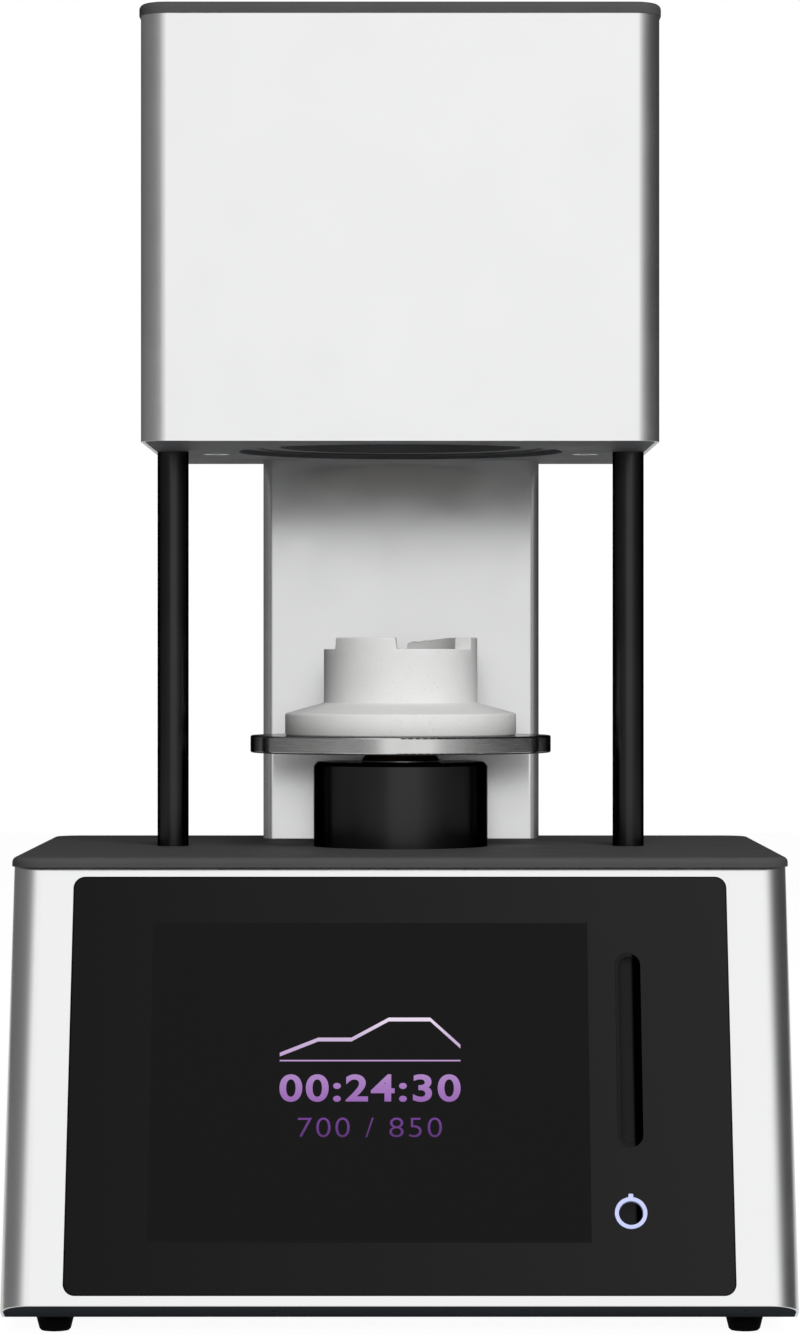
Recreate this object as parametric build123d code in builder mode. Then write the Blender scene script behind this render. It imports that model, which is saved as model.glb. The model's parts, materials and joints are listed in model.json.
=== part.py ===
from build123d import *

import math
import os

os.makedirs("parts", exist_ok=True)

# Press furnace for a dental laboratory. Millimetres, +Z up, front towards -Y.
# The origin is on the table, under the centre of the whole furnace.

# Heights above the table
underside_z = 8.9
front_foot_z = 17.55
casing_top_z = 221.1
lid_top_z = 226.0
tower_base_z = 430.6
tower_casing_top_z = 641.5
tower_top_z = 647.3

# Depths, measured back from the foot of the slanted front face
face_run = 75.4
lid_front_depth = 73.0
base_back_depth = 349.0
lid_back_depth = 351.0
lift_depth = 212.0
rear_column_front_depth = 306.0
tower_front_depth = 92.0
tower_depth = 262.6
panel_thickness = 1.5
nipple_hex_height = 4.0
nipple_reach = 16.0

# Widths, walls and corner radii
base_width = 379.6
lid_width = 381.6
tower_width = 257.0
tower_lid_overhang = 0.8
rear_column_width = 149.2
rear_column_depth = 43.0
base_corner = 14.8
tower_corner = 13.0
column_corner = 5.5
base_wall = 3.0
tower_wall = 2.0
tray_thickness = 2.0
tray_edge = 1.5
tray_gap = 0.2
lid_edge_radius = 3.0

# Fits
seam = 0.3
running = 0.05
screw_gap = 0.1

# Lift
rod_radius = 17.0
rod_bore = 12.0
rod_low_z = 88.0
rod_top_z = 270.2
screw_radius = 6.0
plate_radius = 78.0
plate_low_z = 274.6
plate_top_z = 283.5
collar_radius = 45.2
collar_top_z = 269.8
bush_radius = 24.0
motor_top_z = 66.0
bracket_thickness = 5.0

# Firing socle
flange_radius = 60.0
flange_top_z = 295.1
ring_radius = 39.85
ring_low_z = 299.9
ring_top_z = 334.1
notch_floor_z = 328.2
seat_radius = 31.0
seat_depth = 20.0

# Front controls, on the front plane (x to the right, y up the slope)
glass_size = (318.2, 207.0)
glass_centre = (0.0, 108.5)
glass_corner = 5.5
glass_thickness = 3.0
screen_size = (211.2, 158.4)
screen_centre = (-14.4, 109.5)
slider_size = (96.6, 12.3)
slider_centre = (110.5, 125.0)
power_centre = (110.1, 44.7)
power_ring_radius = 7.7
power_bore_radius = 5.85
button_radius = 5.55

# Firing chamber
floor_thickness = 8.0
mouth_radius = 62.5
recess_radius = 84.0
recess_depth = 2.3
chamber_radius = 44.2
ledge_z = 453.0
ceiling_z = 540.0
shell_radius = 86.0
shell_top_z = 566.4
press_plate_z = 568.0
press_offset = 107.0

total_depth = base_back_depth + panel_thickness + nipple_hex_height + nipple_reach
front_y = -total_depth / 2
base_back_y = front_y + base_back_depth
lift_y = front_y + lift_depth
tower_centre_y = front_y + tower_front_depth + tower_depth / 2
rear_column_y = front_y + rear_column_front_depth + rear_column_depth / 2
tower_floor_top_z = tower_base_z + floor_thickness
tray_top_z = underside_z + tray_thickness

face_rise = casing_top_z - front_foot_z
face_length = math.hypot(face_run, face_rise)
tilt_sin = face_run / face_length
tilt_cos = face_rise / face_length

# The slanted front: x to the right, y up the slope, z outwards
front_plane = Plane(
    origin=(0, front_y, front_foot_z),
    x_dir=(1, 0, 0),
    z_dir=(0, -tilt_cos, tilt_sin),
)
slope_axis = Axis((0, 0, 0), (0, tilt_sin, tilt_cos))
outward_axis = Axis((0, 0, 0), (0, -tilt_cos, tilt_sin))

# The back of the base: x towards -X, y up from the table, z outwards
rear_plane = Plane(origin=(0, base_back_y, 0), x_dir=(-1, 0, 0), z_dir=(0, 1, 0))

# The bevelled strip of the tray, square to the front face and facing down
bevel_plane = Plane(
    origin=(0, front_y, front_foot_z),
    x_dir=(1, 0, 0),
    z_dir=(0, -tilt_sin, -tilt_cos),
)


def level(height, x=0.0, y=lift_y):
    """Horizontal plane at a height, centred over a point, by default the lift axis."""
    return Plane(origin=(x, y, height), x_dir=(1, 0, 0), z_dir=(0, 0, 1))


def front_face_y(height, inset=0.0):
    """Y of the slanted front at a height, moved inwards by inset."""
    rise = height - front_foot_z
    return front_y + rise * tilt_sin / tilt_cos + inset / tilt_cos


def base_wedge(low, high, inset, radius):
    """Wedge of the base between two heights, pulled in by inset, corners rounded."""
    back = base_back_y - inset
    with BuildPart() as wedge:
        with BuildSketch(Plane.YZ):
            with BuildLine():
                Polyline(
                    (front_face_y(low, inset), low),
                    (back, low),
                    (back, high),
                    (front_face_y(high, inset), high),
                    close=True,
                )
            make_face()
        extrude(amount=base_width / 2 - inset, both=True)
        fillet(wedge.edges().filter_by(slope_axis), radius)
        fillet(wedge.edges().filter_by(Axis.Z), radius)
    return wedge.part


def ring(plane, height, outer, inner=0.0, mode=Mode.ADD):
    """Disc or tube standing on a plane, put into the part being built."""
    with BuildSketch(plane) as outline:
        Circle(outer)
        if inner > 0:
            Circle(inner, mode=Mode.SUBTRACT)
    extrude(outline.sketch, amount=height, mode=mode)


def block(plane, size, height, centre=(0.0, 0.0), corner=0.0, mode=Mode.ADD):
    """Block standing on a plane with its upright edges rounded."""
    with BuildSketch(plane) as outline:
        with Locations(centre):
            if corner > 0:
                RectangleRounded(size[0], size[1], corner)
            else:
                Rectangle(size[0], size[1])
    extrude(outline.sketch, amount=height, mode=mode)


def turned(points, y=lift_y, x=0.0):
    """Body of revolution about an upright axis from (radius, height) points."""
    section_plane = Plane(origin=(x, y, 0), x_dir=(1, 0, 0), z_dir=(0, -1, 0))
    with BuildSketch(section_plane) as section:
        with BuildLine():
            Polyline(*points, close=True)
        make_face()
    revolve(section.sketch, axis=Axis((x, y, 0), (0, 0, 1)))


def screw_group(plane, points, head, shank, length, raised=0.0):
    """Screws with a hexagon socket; the head is a cone, or a cylinder when raised."""
    top = plane.offset(raised)
    with BuildPart(plane) as screws:
        with Locations(*points):
            Cylinder(shank, length, align=(Align.CENTER, Align.CENTER, Align.MAX))
            if raised > 0:
                Cylinder(head, raised, align=(Align.CENTER, Align.CENTER, Align.MIN))
            else:
                Cone(shank, head, head - shank, align=(Align.CENTER, Align.CENTER, Align.MAX))
        with BuildSketch(top) as sockets:
            with Locations(*points):
                RegularPolygon(head * 0.45, 6)
        extrude(sockets.sketch, amount=-(head - shank) * 0.9, mode=Mode.SUBTRACT)
    return screws


def sink_holes(plane, points, head, shank, depth):
    """Countersunk holes for screw_group, a little wider than the screws."""
    with Locations(plane):
        with Locations(*points):
            CounterSinkHole(shank + screw_gap, head + screw_gap, depth=depth)


# ---------------------------------------------------------------- base tray and feet

bevel_points = [(-164.5, -12.0), (-59.0, -12.0), (59.0, -12.0), (164.5, -12.0)]
foot_points = [(x, front_y + d) for x in (-166.0, 166.0) for d in (43.0, 318.0)]
foot_profile = [(0, 0), (6.8, 0), (7.6, 0.9), (9.7, underside_z), (0, underside_z)]


def bevel_point(along, lift):
    """(Y, Z) on the tray's bevel: along it from the front foot, and up into the base."""
    y = front_y + along * tilt_cos + lift * tilt_sin
    z = front_foot_z - along * tilt_sin + lift * tilt_cos
    return (y, z)


bevel_length = (front_foot_z - underside_z) / tilt_sin
inner_bevel_length = bevel_length + tray_thickness * (tilt_cos - 1) / tilt_sin
bevel_outer_end = bevel_point(bevel_length, 0)
bevel_inner_end = bevel_point(inner_bevel_length, tray_thickness)


def tray_plate(inset):
    """Bent plate with the bevel at its front, pulled in by inset from the base's outside."""
    back = base_back_y - inset
    with BuildPart() as plate:
        with BuildSketch(Plane.YZ):
            with BuildLine():
                Polyline(
                    bevel_point(inset, 0),
                    bevel_outer_end,
                    (back, underside_z),
                    (back, tray_top_z),
                    bevel_inner_end,
                    bevel_point(inset, tray_thickness),
                    close=True,
                )
            make_face()
        extrude(amount=base_width / 2 - inset, both=True)
        fillet(plate.edges().filter_by(slope_axis), base_corner - inset)
        fillet(plate.edges().filter_by(Axis.Z), base_corner - inset)
    return plate.part


with BuildPart() as base_tray:
    add(tray_plate(tray_edge))
    with BuildSketch(Plane.XY.offset(underside_z)):
        with Locations((-90, lift_y - 20), (90, lift_y - 20)):
            with GridLocations(0, 12, 1, 8):
                SlotOverall(60, 4)
    extrude(amount=tray_thickness, mode=Mode.SUBTRACT)
    sink_holes(bevel_plane, bevel_points, 4.0, 2.0, 10)

tray_screws = screw_group(bevel_plane, bevel_points, 4.0, 2.0, 8)

with BuildPart() as rubber_feet:
    for point in foot_points:
        turned(foot_profile, point[1], point[0])

# ---------------------------------------------------------------- base casing and lid

glass_opening = (glass_size[0] + 2 * seam, glass_size[1] + 2 * seam)
panel_size = (300.0, 176.0)
panel_centre = (0.0, 112.0)
panel_opening = (280.0, 156.0)
panel_screw_points = [
    (x * 145.0, panel_centre[1] + y * 83.0) for x in (-1, 0, 1) for y in (-1, 1)
]
bevel_reach = 30.0

# The casing's skin runs down outside the tray, and the rest of its wall stands on the tray
with BuildPart() as base_casing:
    add(base_wedge(underside_z, casing_top_z, 0, base_corner))
    with BuildSketch(Plane.YZ):
        with BuildLine():
            Polyline(
                bevel_point(-bevel_reach, 0),
                bevel_outer_end,
                (bevel_outer_end[0], -bevel_reach),
                (front_y - bevel_reach, -bevel_reach),
                close=True,
            )
        make_face()
    extrude(amount=base_width, both=True, mode=Mode.SUBTRACT)
    add(tray_plate(tray_edge - tray_gap), mode=Mode.SUBTRACT)
    hollow_low = underside_z - bevel_reach
    hollow_high = casing_top_z + bevel_reach
    add(
        base_wedge(hollow_low, hollow_high, base_wall, base_corner - base_wall),
        mode=Mode.SUBTRACT,
    )
    block(
        front_plane.offset(-base_wall - 1),
        glass_opening,
        base_wall + 2,
        glass_centre,
        glass_corner + seam,
        Mode.SUBTRACT,
    )
    block(
        rear_plane.offset(-base_wall - 1),
        panel_opening,
        base_wall + 2,
        panel_centre,
        6,
        Mode.SUBTRACT,
    )
    with BuildSketch(rear_plane):
        with Locations(*panel_screw_points):
            Circle(2.0 + screw_gap)
    extrude(amount=-base_wall - 1, mode=Mode.SUBTRACT)

lid_depth = lid_back_depth - lid_front_depth
lid_centre_y = front_y + lid_front_depth + lid_depth / 2
column_points = [(-118.25, 0.0), (118.25, 0.0)]
duct_size = (110.0, 26.0)

with BuildPart() as base_lid:
    block(
        level(casing_top_z, 0, lid_centre_y),
        (lid_width, lid_depth),
        lid_top_z - casing_top_z,
        corner=base_corner + 1,
    )
    fillet(base_lid.faces().sort_by(Axis.Z)[-1].outer_wire().edges(), lid_edge_radius)
    ring(level(casing_top_z), 10, bush_radius + screw_gap, mode=Mode.SUBTRACT)
    block(level(casing_top_z, 0, rear_column_y), duct_size, 10, corner=4, mode=Mode.SUBTRACT)
    for x, y in column_points:
        ring(level(casing_top_z, x), 10, 3.0 + screw_gap, mode=Mode.SUBTRACT)

# ---------------------------------------------------------------- front panel

module_size = (226.0, 176.0)
module_depth = 9.0
frame_low = -glass_thickness - 2.5
slider_fit = 0.1
trough_radius = 5.0
trough_lift = 2.0

with BuildPart() as front_glass:
    block(front_plane.offset(-glass_thickness), glass_size, glass_thickness, glass_centre, glass_corner)
    chamfer(front_glass.faces().sort_by(outward_axis)[-1].outer_wire().edges(), 0.4)
    with BuildSketch(front_plane.offset(-glass_thickness - 1)):
        with Locations(slider_centre):
            SlotOverall(*slider_size, rotation=90)
        with Locations(power_centre):
            Circle(power_ring_radius + slider_fit)
    extrude(amount=glass_thickness + 2, mode=Mode.SUBTRACT)

with BuildPart() as front_frame:
    block(front_plane.offset(frame_low), (330, 209), 2.5, (0, 108.2), 8)
    block(front_plane.offset(frame_low), module_size, 2.5, screen_centre, 0, Mode.SUBTRACT)
    with BuildSketch(front_plane.offset(frame_low)):
        with Locations(slider_centre):
            SlotOverall(*slider_size, rotation=90)
        with Locations(power_centre):
            Circle(power_ring_radius + slider_fit)
    extrude(amount=2.5, mode=Mode.SUBTRACT)

with BuildPart() as display_module:
    module_size_fitted = (module_size[0] - 2 * slider_fit, module_size[1] - 2 * slider_fit)
    module_plane = front_plane.offset(-glass_thickness - module_depth)
    block(module_plane, module_size_fitted, module_depth, screen_centre, 2)
    block(front_plane.offset(-glass_thickness - 0.4), screen_size, 0.4, screen_centre, 0, Mode.SUBTRACT)

# Touch strip: a stadium filling its slot, with a round-bottomed trough for a finger
trough_half = (slider_size[0] - slider_size[1]) / 2
with BuildPart() as touch_slider:
    with BuildSketch(front_plane.offset(frame_low)):
        with Locations(slider_centre):
            SlotOverall(slider_size[0] - 2 * slider_fit, slider_size[1] - 2 * slider_fit, rotation=90)
    extrude(amount=-frame_low - 0.15)
    trough_plane = Plane(
        origin=front_plane.from_local_coords((slider_centre[0], slider_centre[1], trough_lift)),
        x_dir=(1, 0, 0),
        z_dir=front_plane.y_dir,
    )
    ring(trough_plane.offset(-trough_half), 2 * trough_half, trough_radius, mode=Mode.SUBTRACT)
    with Locations(trough_plane.offset(-trough_half), trough_plane.offset(trough_half)):
        Sphere(trough_radius, mode=Mode.SUBTRACT)

# Ring of the power key, with the tick of a power symbol at its top
ring_proud = 0.35
with BuildPart() as power_ring:
    key_plane = Plane(
        origin=front_plane.from_local_coords((power_centre[0], power_centre[1], 0)),
        x_dir=(1, 0, 0),
        z_dir=front_plane.z_dir,
    )
    ring(key_plane.offset(frame_low), ring_proud - frame_low, power_ring_radius, power_bore_radius)
    block(key_plane, (2.3, 3.0), ring_proud, (0, power_ring_radius + 0.1), 0.6)

button_top = -0.6
button_flange_low = -7.2
button_flange_high = frame_low - seam
with BuildPart() as power_button:
    ring(key_plane.offset(button_flange_low), button_top - button_flange_low, button_radius)
    ring(key_plane.offset(button_flange_low), button_flange_high - button_flange_low, 6.6)
    ring(key_plane.offset(-9.0), 9.0 + button_flange_low, 1.6)
    with Locations(key_plane.offset(button_top + 8.6)):
        Sphere(10.0, mode=Mode.SUBTRACT)

key_board_front = -14.4
with BuildPart() as button_board:
    block(key_plane.offset(key_board_front - 1.6), (24, 40), 1.6, corner=2)
    block(key_plane.offset(key_board_front), (12, 12), 3.0, corner=1)
    ring(key_plane.offset(key_board_front + 3.0), 1.0, 3.0)
    with BuildSketch(key_plane.offset(key_board_front)):
        with GridLocations(16, 32, 2, 2):
            Circle(2.5)
    extrude(amount=frame_low - key_board_front)

board_front = -28.0
board_size = (200.0, 146.0)
chip_blocks = [
    ((30, 30), (-40, 20), 4.0),
    ((18, 26), (20, 30), 3.0),
    ((50, 12), (40, -52), 11.0),
    ((12, 60), (-86, 0), 9.0),
    ((24, 24), (60, 25), 12.0),
]
with BuildPart() as controller_board:
    board_plane = Plane(
        origin=front_plane.from_local_coords((screen_centre[0], screen_centre[1], board_front)),
        x_dir=(1, 0, 0),
        z_dir=front_plane.z_dir,
    )
    block(board_plane.offset(-1.6), board_size, 1.6, corner=3)
    for size, centre, tall in chip_blocks:
        block(board_plane.offset(-1.6 - tall), size, tall, centre)
    with BuildSketch(board_plane):
        with GridLocations(board_size[0] - 14, board_size[1] - 14, 2, 2):
            Circle(3)
    extrude(amount=-board_front - glass_thickness - module_depth)

# ---------------------------------------------------------------- rear panel and sockets

inlet_centre = (-112.0, 66.0)
fuse_drop = 13.5
switch_centre = (-112.0, 108.0)
fan_centre = (96.0, 130.0)
nipple_centre = (30.0, 66.0)
socket_points = [(-30.0, 66.0), (-52.0, 66.0)]
fan_size = 60.0
fan_depth = 15.0
fan_bore = 28.5
fan_pitch = 50.0
face_plane = rear_plane.offset(panel_thickness)


def rear_spot(centre, out=0.0):
    """Plane on the back of the base at a spot, moved outwards."""
    return Plane(
        origin=rear_plane.from_local_coords((centre[0], centre[1], out)),
        x_dir=(-1, 0, 0),
        z_dir=(0, 1, 0),
    )


inlet_flange = (34.0, 46.0)
inlet_body = (28.0, 40.0)
cavity_size = (24.2, 16.4)
cavity_depth = 16.0
drawer_size = (22.0, 8.0)
drawer_depth = 24.0
switch_flange = (19.0, 27.0)
switch_body = (15.0, 23.0)

with BuildPart() as rear_panel:
    block(rear_plane, panel_size, panel_thickness, panel_centre, 7)
    inlet_hole = (inlet_body[0] + seam, inlet_body[1] + seam)
    switch_hole = (switch_body[0] + seam, switch_body[1] + seam)
    block(rear_plane, inlet_hole, 5, inlet_centre, 0, Mode.SUBTRACT)
    block(rear_plane, switch_hole, 5, switch_centre, 0, Mode.SUBTRACT)
    ring(rear_spot(fan_centre), 5, fan_bore, mode=Mode.SUBTRACT)
    ring(rear_spot(nipple_centre), 5, 5.0 + screw_gap, mode=Mode.SUBTRACT)
    for point in socket_points:
        block(rear_plane, (14.4, 7.4), 5, point, 0, Mode.SUBTRACT)
    with BuildSketch(rear_plane):
        with Locations(fan_centre):
            with GridLocations(fan_pitch, fan_pitch, 2, 2):
                Circle(2.0 + screw_gap)
        with Locations(*panel_screw_points):
            Circle(2.0 + screw_gap)
        with Locations((-40, 160)):
            with GridLocations(9, 0, 14, 1):
                SlotOverall(36, 3, rotation=90)
    extrude(amount=panel_thickness, mode=Mode.SUBTRACT)

with BuildPart() as mains_inlet:
    inlet_spot = rear_spot(inlet_centre)
    cavity_centre = (0.0, 7.5)
    block(inlet_spot.offset(panel_thickness), inlet_flange, 2.5, corner=3)
    block(inlet_spot.offset(-24), inlet_body, 24 + panel_thickness, corner=2)
    cavity_floor = inlet_spot.offset(panel_thickness + 2.5 - cavity_depth)
    block(cavity_floor, cavity_size, cavity_depth + 1, cavity_centre, 3, Mode.SUBTRACT)
    for pin in ((-7.0, 5.5), (7.0, 5.5), (0.0, 9.5)):
        block(cavity_floor, (2.0, 4.0), cavity_depth - 2.5, pin, 0.6)
    drawer_hole = (drawer_size[0] + 2 * seam, drawer_size[1] + 2 * seam)
    block(inlet_spot.offset(-22), drawer_hole, 40, (0, -fuse_drop), 0, Mode.SUBTRACT)

with BuildPart() as fuse_drawer:
    drawer_spot = rear_spot((inlet_centre[0], inlet_centre[1] - fuse_drop))
    drawer_face = panel_thickness + 2.5
    block(drawer_spot.offset(drawer_face - drawer_depth), drawer_size, drawer_depth, corner=0.8)
    block(drawer_spot.offset(drawer_face), (12, 3), 1.2, corner=1)
    for side in (-5.5, 5.5):
        block(drawer_spot.offset(drawer_face - 21.5), (6, 20), 18, (side, 10), 0, Mode.SUBTRACT)

rocker_tilt = 7.0
with BuildPart() as switch_frame:
    switch_spot = rear_spot(switch_centre)
    block(switch_spot.offset(panel_thickness), switch_flange, 2.0, corner=2)
    block(switch_spot.offset(-18), switch_body, 18 + panel_thickness, corner=1)
    block(switch_spot.offset(-8), (12.0, 21.2), 20, corner=0.5, mode=Mode.SUBTRACT)
    trunnion_plane = Plane(
        origin=switch_spot.from_local_coords((0, 0, 0)), x_dir=(0, 1, 0), z_dir=(1, 0, 0)
    )
    with BuildSketch(trunnion_plane):
        Circle(1.2 + running)
    extrude(amount=6.8, both=True, mode=Mode.SUBTRACT)

# The rocker turns about the X axis; its face is a shallow V, pressed in at the top
with BuildPart() as switch_rocker:
    with BuildSketch(trunnion_plane):
        with BuildLine():
            Polyline((6.2, 8.0), (4.6, 0), (6.2, -8.0), (-3.0, -7.6), (-3.0, 7.6), close=True)
        make_face()
    extrude(amount=5.6, both=True)
    with BuildSketch(trunnion_plane):
        Circle(1.2)
    extrude(amount=6.7, both=True)
switch_rocker.part = switch_rocker.part.rotate(Axis(trunnion_plane.origin, (1, 0, 0)), rocker_tilt)

with BuildPart() as data_sockets:
    for point in socket_points:
        spot = rear_spot(point)
        block(spot.offset(-14), (14, 7), 14.4 + panel_thickness, corner=0.8)
        block(spot.offset(-10), (12.2, 5.2), 20, mode=Mode.SUBTRACT)
        block(spot.offset(-12), (11, 1.6), 12.5, (0, 1.2))

with BuildPart() as vacuum_nipple:
    nipple_spot = rear_spot(nipple_centre)
    with BuildSketch(nipple_spot.offset(panel_thickness)):
        RegularPolygon(8, 6)
    extrude(amount=nipple_hex_height)
    ring(nipple_spot.offset(-10), 10 + panel_thickness, 5.0)
    ring(nipple_spot.offset(panel_thickness + nipple_hex_height), nipple_reach, 4.5)
    tip = vacuum_nipple.faces().sort_by(Axis.Y)[-1].edges()
    chamfer(tip, 0.6)
    ring(nipple_spot.offset(-12), 60, 2.5, mode=Mode.SUBTRACT)

with BuildPart() as vacuum_valve:
    valve_spot = rear_spot(nipple_centre)
    block(valve_spot.offset(-36), (30, 34), 26, corner=2)
    ring(level(nipple_centre[1] + 17, -nipple_centre[0], base_back_y - 26), 34, 9)

with BuildPart() as vacuum_pipe:
    pipe_start = (-nipple_centre[0] - 6, base_back_y - 14, nipple_centre[1] + 17)
    with BuildLine():
        FilletPolyline(
            pipe_start,
            (pipe_start[0], pipe_start[1], 490.0),
            (pipe_start[0], lift_y + shell_radius - 4, 490.0),
            radius=12,
        )
    with BuildSketch(Plane(origin=pipe_start, z_dir=(0, 0, 1))):
        Circle(3.0)
    sweep()

# ---------------------------------------------------------------- fan

with BuildPart() as fan_frame:
    fan_spot = rear_spot(fan_centre)
    block(fan_spot.offset(-fan_depth), (fan_size, fan_size), fan_depth, corner=4)
    ring(fan_spot.offset(-fan_depth), fan_depth, fan_bore, mode=Mode.SUBTRACT)
    ring(fan_spot.offset(-fan_depth), 2.0, 11)
    with BuildSketch(fan_spot.offset(-fan_depth)):
        with PolarLocations(19.5, 3):
            Rectangle(19, 4)
    extrude(amount=2.0)
    ring(fan_spot.offset(-fan_depth), 9.0, 2.0)
    with BuildSketch(fan_spot.offset(-fan_depth)):
        with GridLocations(fan_pitch, fan_pitch, 2, 2):
            Circle(2.0 + screw_gap)
    extrude(amount=fan_depth, mode=Mode.SUBTRACT)

blade_count = 7
blade_pitch = math.radians(34)
blade_root = 11.0
blade_size = (13.5, 1.4)
blade_span = 16.2


def blade_plane(turn):
    """Plane at a blade's root, facing outwards, its x along the pitched chord."""
    radial = fan_spot.x_dir * math.cos(turn) + fan_spot.y_dir * math.sin(turn)
    tangent = fan_spot.y_dir * math.cos(turn) - fan_spot.x_dir * math.sin(turn)
    chord = tangent * math.cos(blade_pitch) + fan_spot.z_dir * math.sin(blade_pitch)
    middle = fan_spot.offset(-6.5).origin
    return Plane(origin=middle + radial * blade_root, x_dir=chord, z_dir=radial)


with BuildPart() as fan_rotor:
    ring(fan_spot.offset(-12), 11, 12)
    for blade in range(blade_count):
        block(blade_plane(2 * math.pi * blade / blade_count), blade_size, blade_span, corner=0.6)
    ring(fan_spot.offset(-12), 8, 2.0 + running, mode=Mode.SUBTRACT)
    ring(fan_spot.offset(-12), 3.5, 10, mode=Mode.SUBTRACT)

wire = 1.6
ring_lift = 1.2
with BuildPart() as fan_guard:
    eye_plane = rear_spot(fan_centre, panel_thickness)
    with BuildSketch(eye_plane):
        Rectangle(65, wire, rotation=45)
        Rectangle(65, wire, rotation=-45)
        with GridLocations(fan_pitch, fan_pitch, 2, 2):
            Circle(3.6)
            Circle(2.0 + screw_gap, mode=Mode.SUBTRACT)
    extrude(amount=wire)
    for radius in (9, 15, 21, 27):
        ring(eye_plane.offset(ring_lift), wire, radius + wire / 2, radius - wire / 2)

fan_points = [
    (fan_centre[0] + sx * fan_pitch / 2, fan_centre[1] + sy * fan_pitch / 2)
    for sx in (-1, 1)
    for sy in (-1, 1)
]
fan_screws = screw_group(face_plane.offset(wire), fan_points, 3.4, 2.0, 16, raised=1.6)
panel_screws = screw_group(face_plane, panel_screw_points, 3.4, 2.0, 5, raised=1.6)
with BuildPart() as rear_screws:
    add(fan_screws.part)
    add(panel_screws.part)

# ---------------------------------------------------------------- power supply and motor

with BuildPart() as power_supply:
    supply_plane = level(tray_top_z, 112, front_y + 230)
    block(supply_plane, (97, 150), 38, corner=2)
    with BuildSketch(supply_plane.offset(36)):
        with GridLocations(7, 0, 11, 1):
            SlotOverall(90, 3, rotation=90)
    extrude(amount=3, mode=Mode.SUBTRACT)

motor_half = 28.2
motor_low_z = 14.0
leg_spread = 42.0
with BuildPart() as lift_motor:
    block(level(motor_low_z), (2 * motor_half, 2 * motor_half), motor_top_z - motor_low_z, corner=5)
    ring(level(motor_top_z), 2, 18)
    ring(level(28), 60, 4.0 + running, mode=Mode.SUBTRACT)

with BuildPart() as motor_bracket:
    block(level(motor_top_z), (2 * leg_spread + 8, 64), bracket_thickness, corner=3)
    ring(level(motor_top_z), bracket_thickness, 18 + screw_gap, mode=Mode.SUBTRACT)
    for side in (-leg_spread, leg_spread):
        block(level(tray_top_z, side), (4, 64), motor_top_z - tray_top_z)
        foot_x = side + math.copysign(8, side)
        block(level(tray_top_z, foot_x), (20, 64), 4, corner=2)

with BuildPart() as screw_bearing:
    ring(level(motor_top_z + 2), 7, 11, screw_radius - 1.5 + running)

with BuildPart() as lead_screw:
    turned(
        [
            (0, 30),
            (4.0, 30),
            (4.0, motor_top_z + 2),
            (screw_radius - 1.5, motor_top_z + 2),
            (screw_radius - 1.5, motor_top_z + 10),
            (screw_radius, motor_top_z + 10),
            (screw_radius, 256),
            (screw_radius - 1, 257),
            (0, 257),
        ]
    )

# ---------------------------------------------------------------- lift guide and lift

with BuildPart() as guide_bush:
    ring(level(205), collar_top_z - 3.6 - 205, bush_radius, rod_radius + running)
    ring(level(lid_top_z), 4, 36, bush_radius - 1)

with BuildPart() as lift_collar:
    turned(
        [
            (rod_radius + 0.6, collar_top_z),
            (collar_radius - 2, collar_top_z),
            (collar_radius, collar_top_z - 2),
            (collar_radius, lid_top_z),
            (collar_radius - 4, lid_top_z),
            (collar_radius - 4, collar_top_z - 3.6),
            (rod_radius + 0.6, collar_top_z - 3.6),
        ]
    )
    top_circles = lift_collar.edges().filter_by(GeomType.CIRCLE).group_by(Axis.Z)[-1]
    fillet(top_circles.sort_by(SortBy.RADIUS)[-1], 0.9)

with BuildPart() as lift_rod:
    ring(level(rod_low_z), rod_top_z - rod_low_z, rod_radius, rod_bore)

with BuildPart() as lift_nut:
    ring(level(rod_low_z), 18, rod_bore - running, screw_radius + running)
    ring(level(rod_low_z - 4), 4, rod_radius - 1, screw_radius + running)

spigot_radius = 5.0
spigot_rise = 6.0
plate_screw_points = [(11.5 * math.cos(a), 11.5 * math.sin(a)) for a in (0.5, 2.6, 4.7)]
with BuildPart() as rod_flange:
    turned([(0, rod_top_z), (20.5, rod_top_z), (17.3, plate_low_z), (0, plate_low_z)])
    ring(level(plate_low_z), plate_top_z + spigot_rise - plate_low_z, spigot_radius)
    chamfer(rod_flange.edges().sort_by(Axis.Z)[-1], 1.0)
    ring(level(rod_top_z - 7), 7, rod_bore - running)
    with BuildSketch(level(rod_top_z)):
        with Locations(*plate_screw_points):
            Circle(2.0 + screw_gap)
    extrude(amount=20, mode=Mode.SUBTRACT)

with BuildPart() as table_plate:
    ring(level(plate_low_z), plate_top_z - plate_low_z, plate_radius)
    fillet(table_plate.edges(), 0.9)
    ring(level(plate_low_z), 20, spigot_radius + screw_gap, mode=Mode.SUBTRACT)
    sink_holes(level(plate_top_z), plate_screw_points, 4.4, 2.0, 20)

table_screws = screw_group(level(plate_top_z), plate_screw_points, 4.4, 2.0, 12.5)

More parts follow.
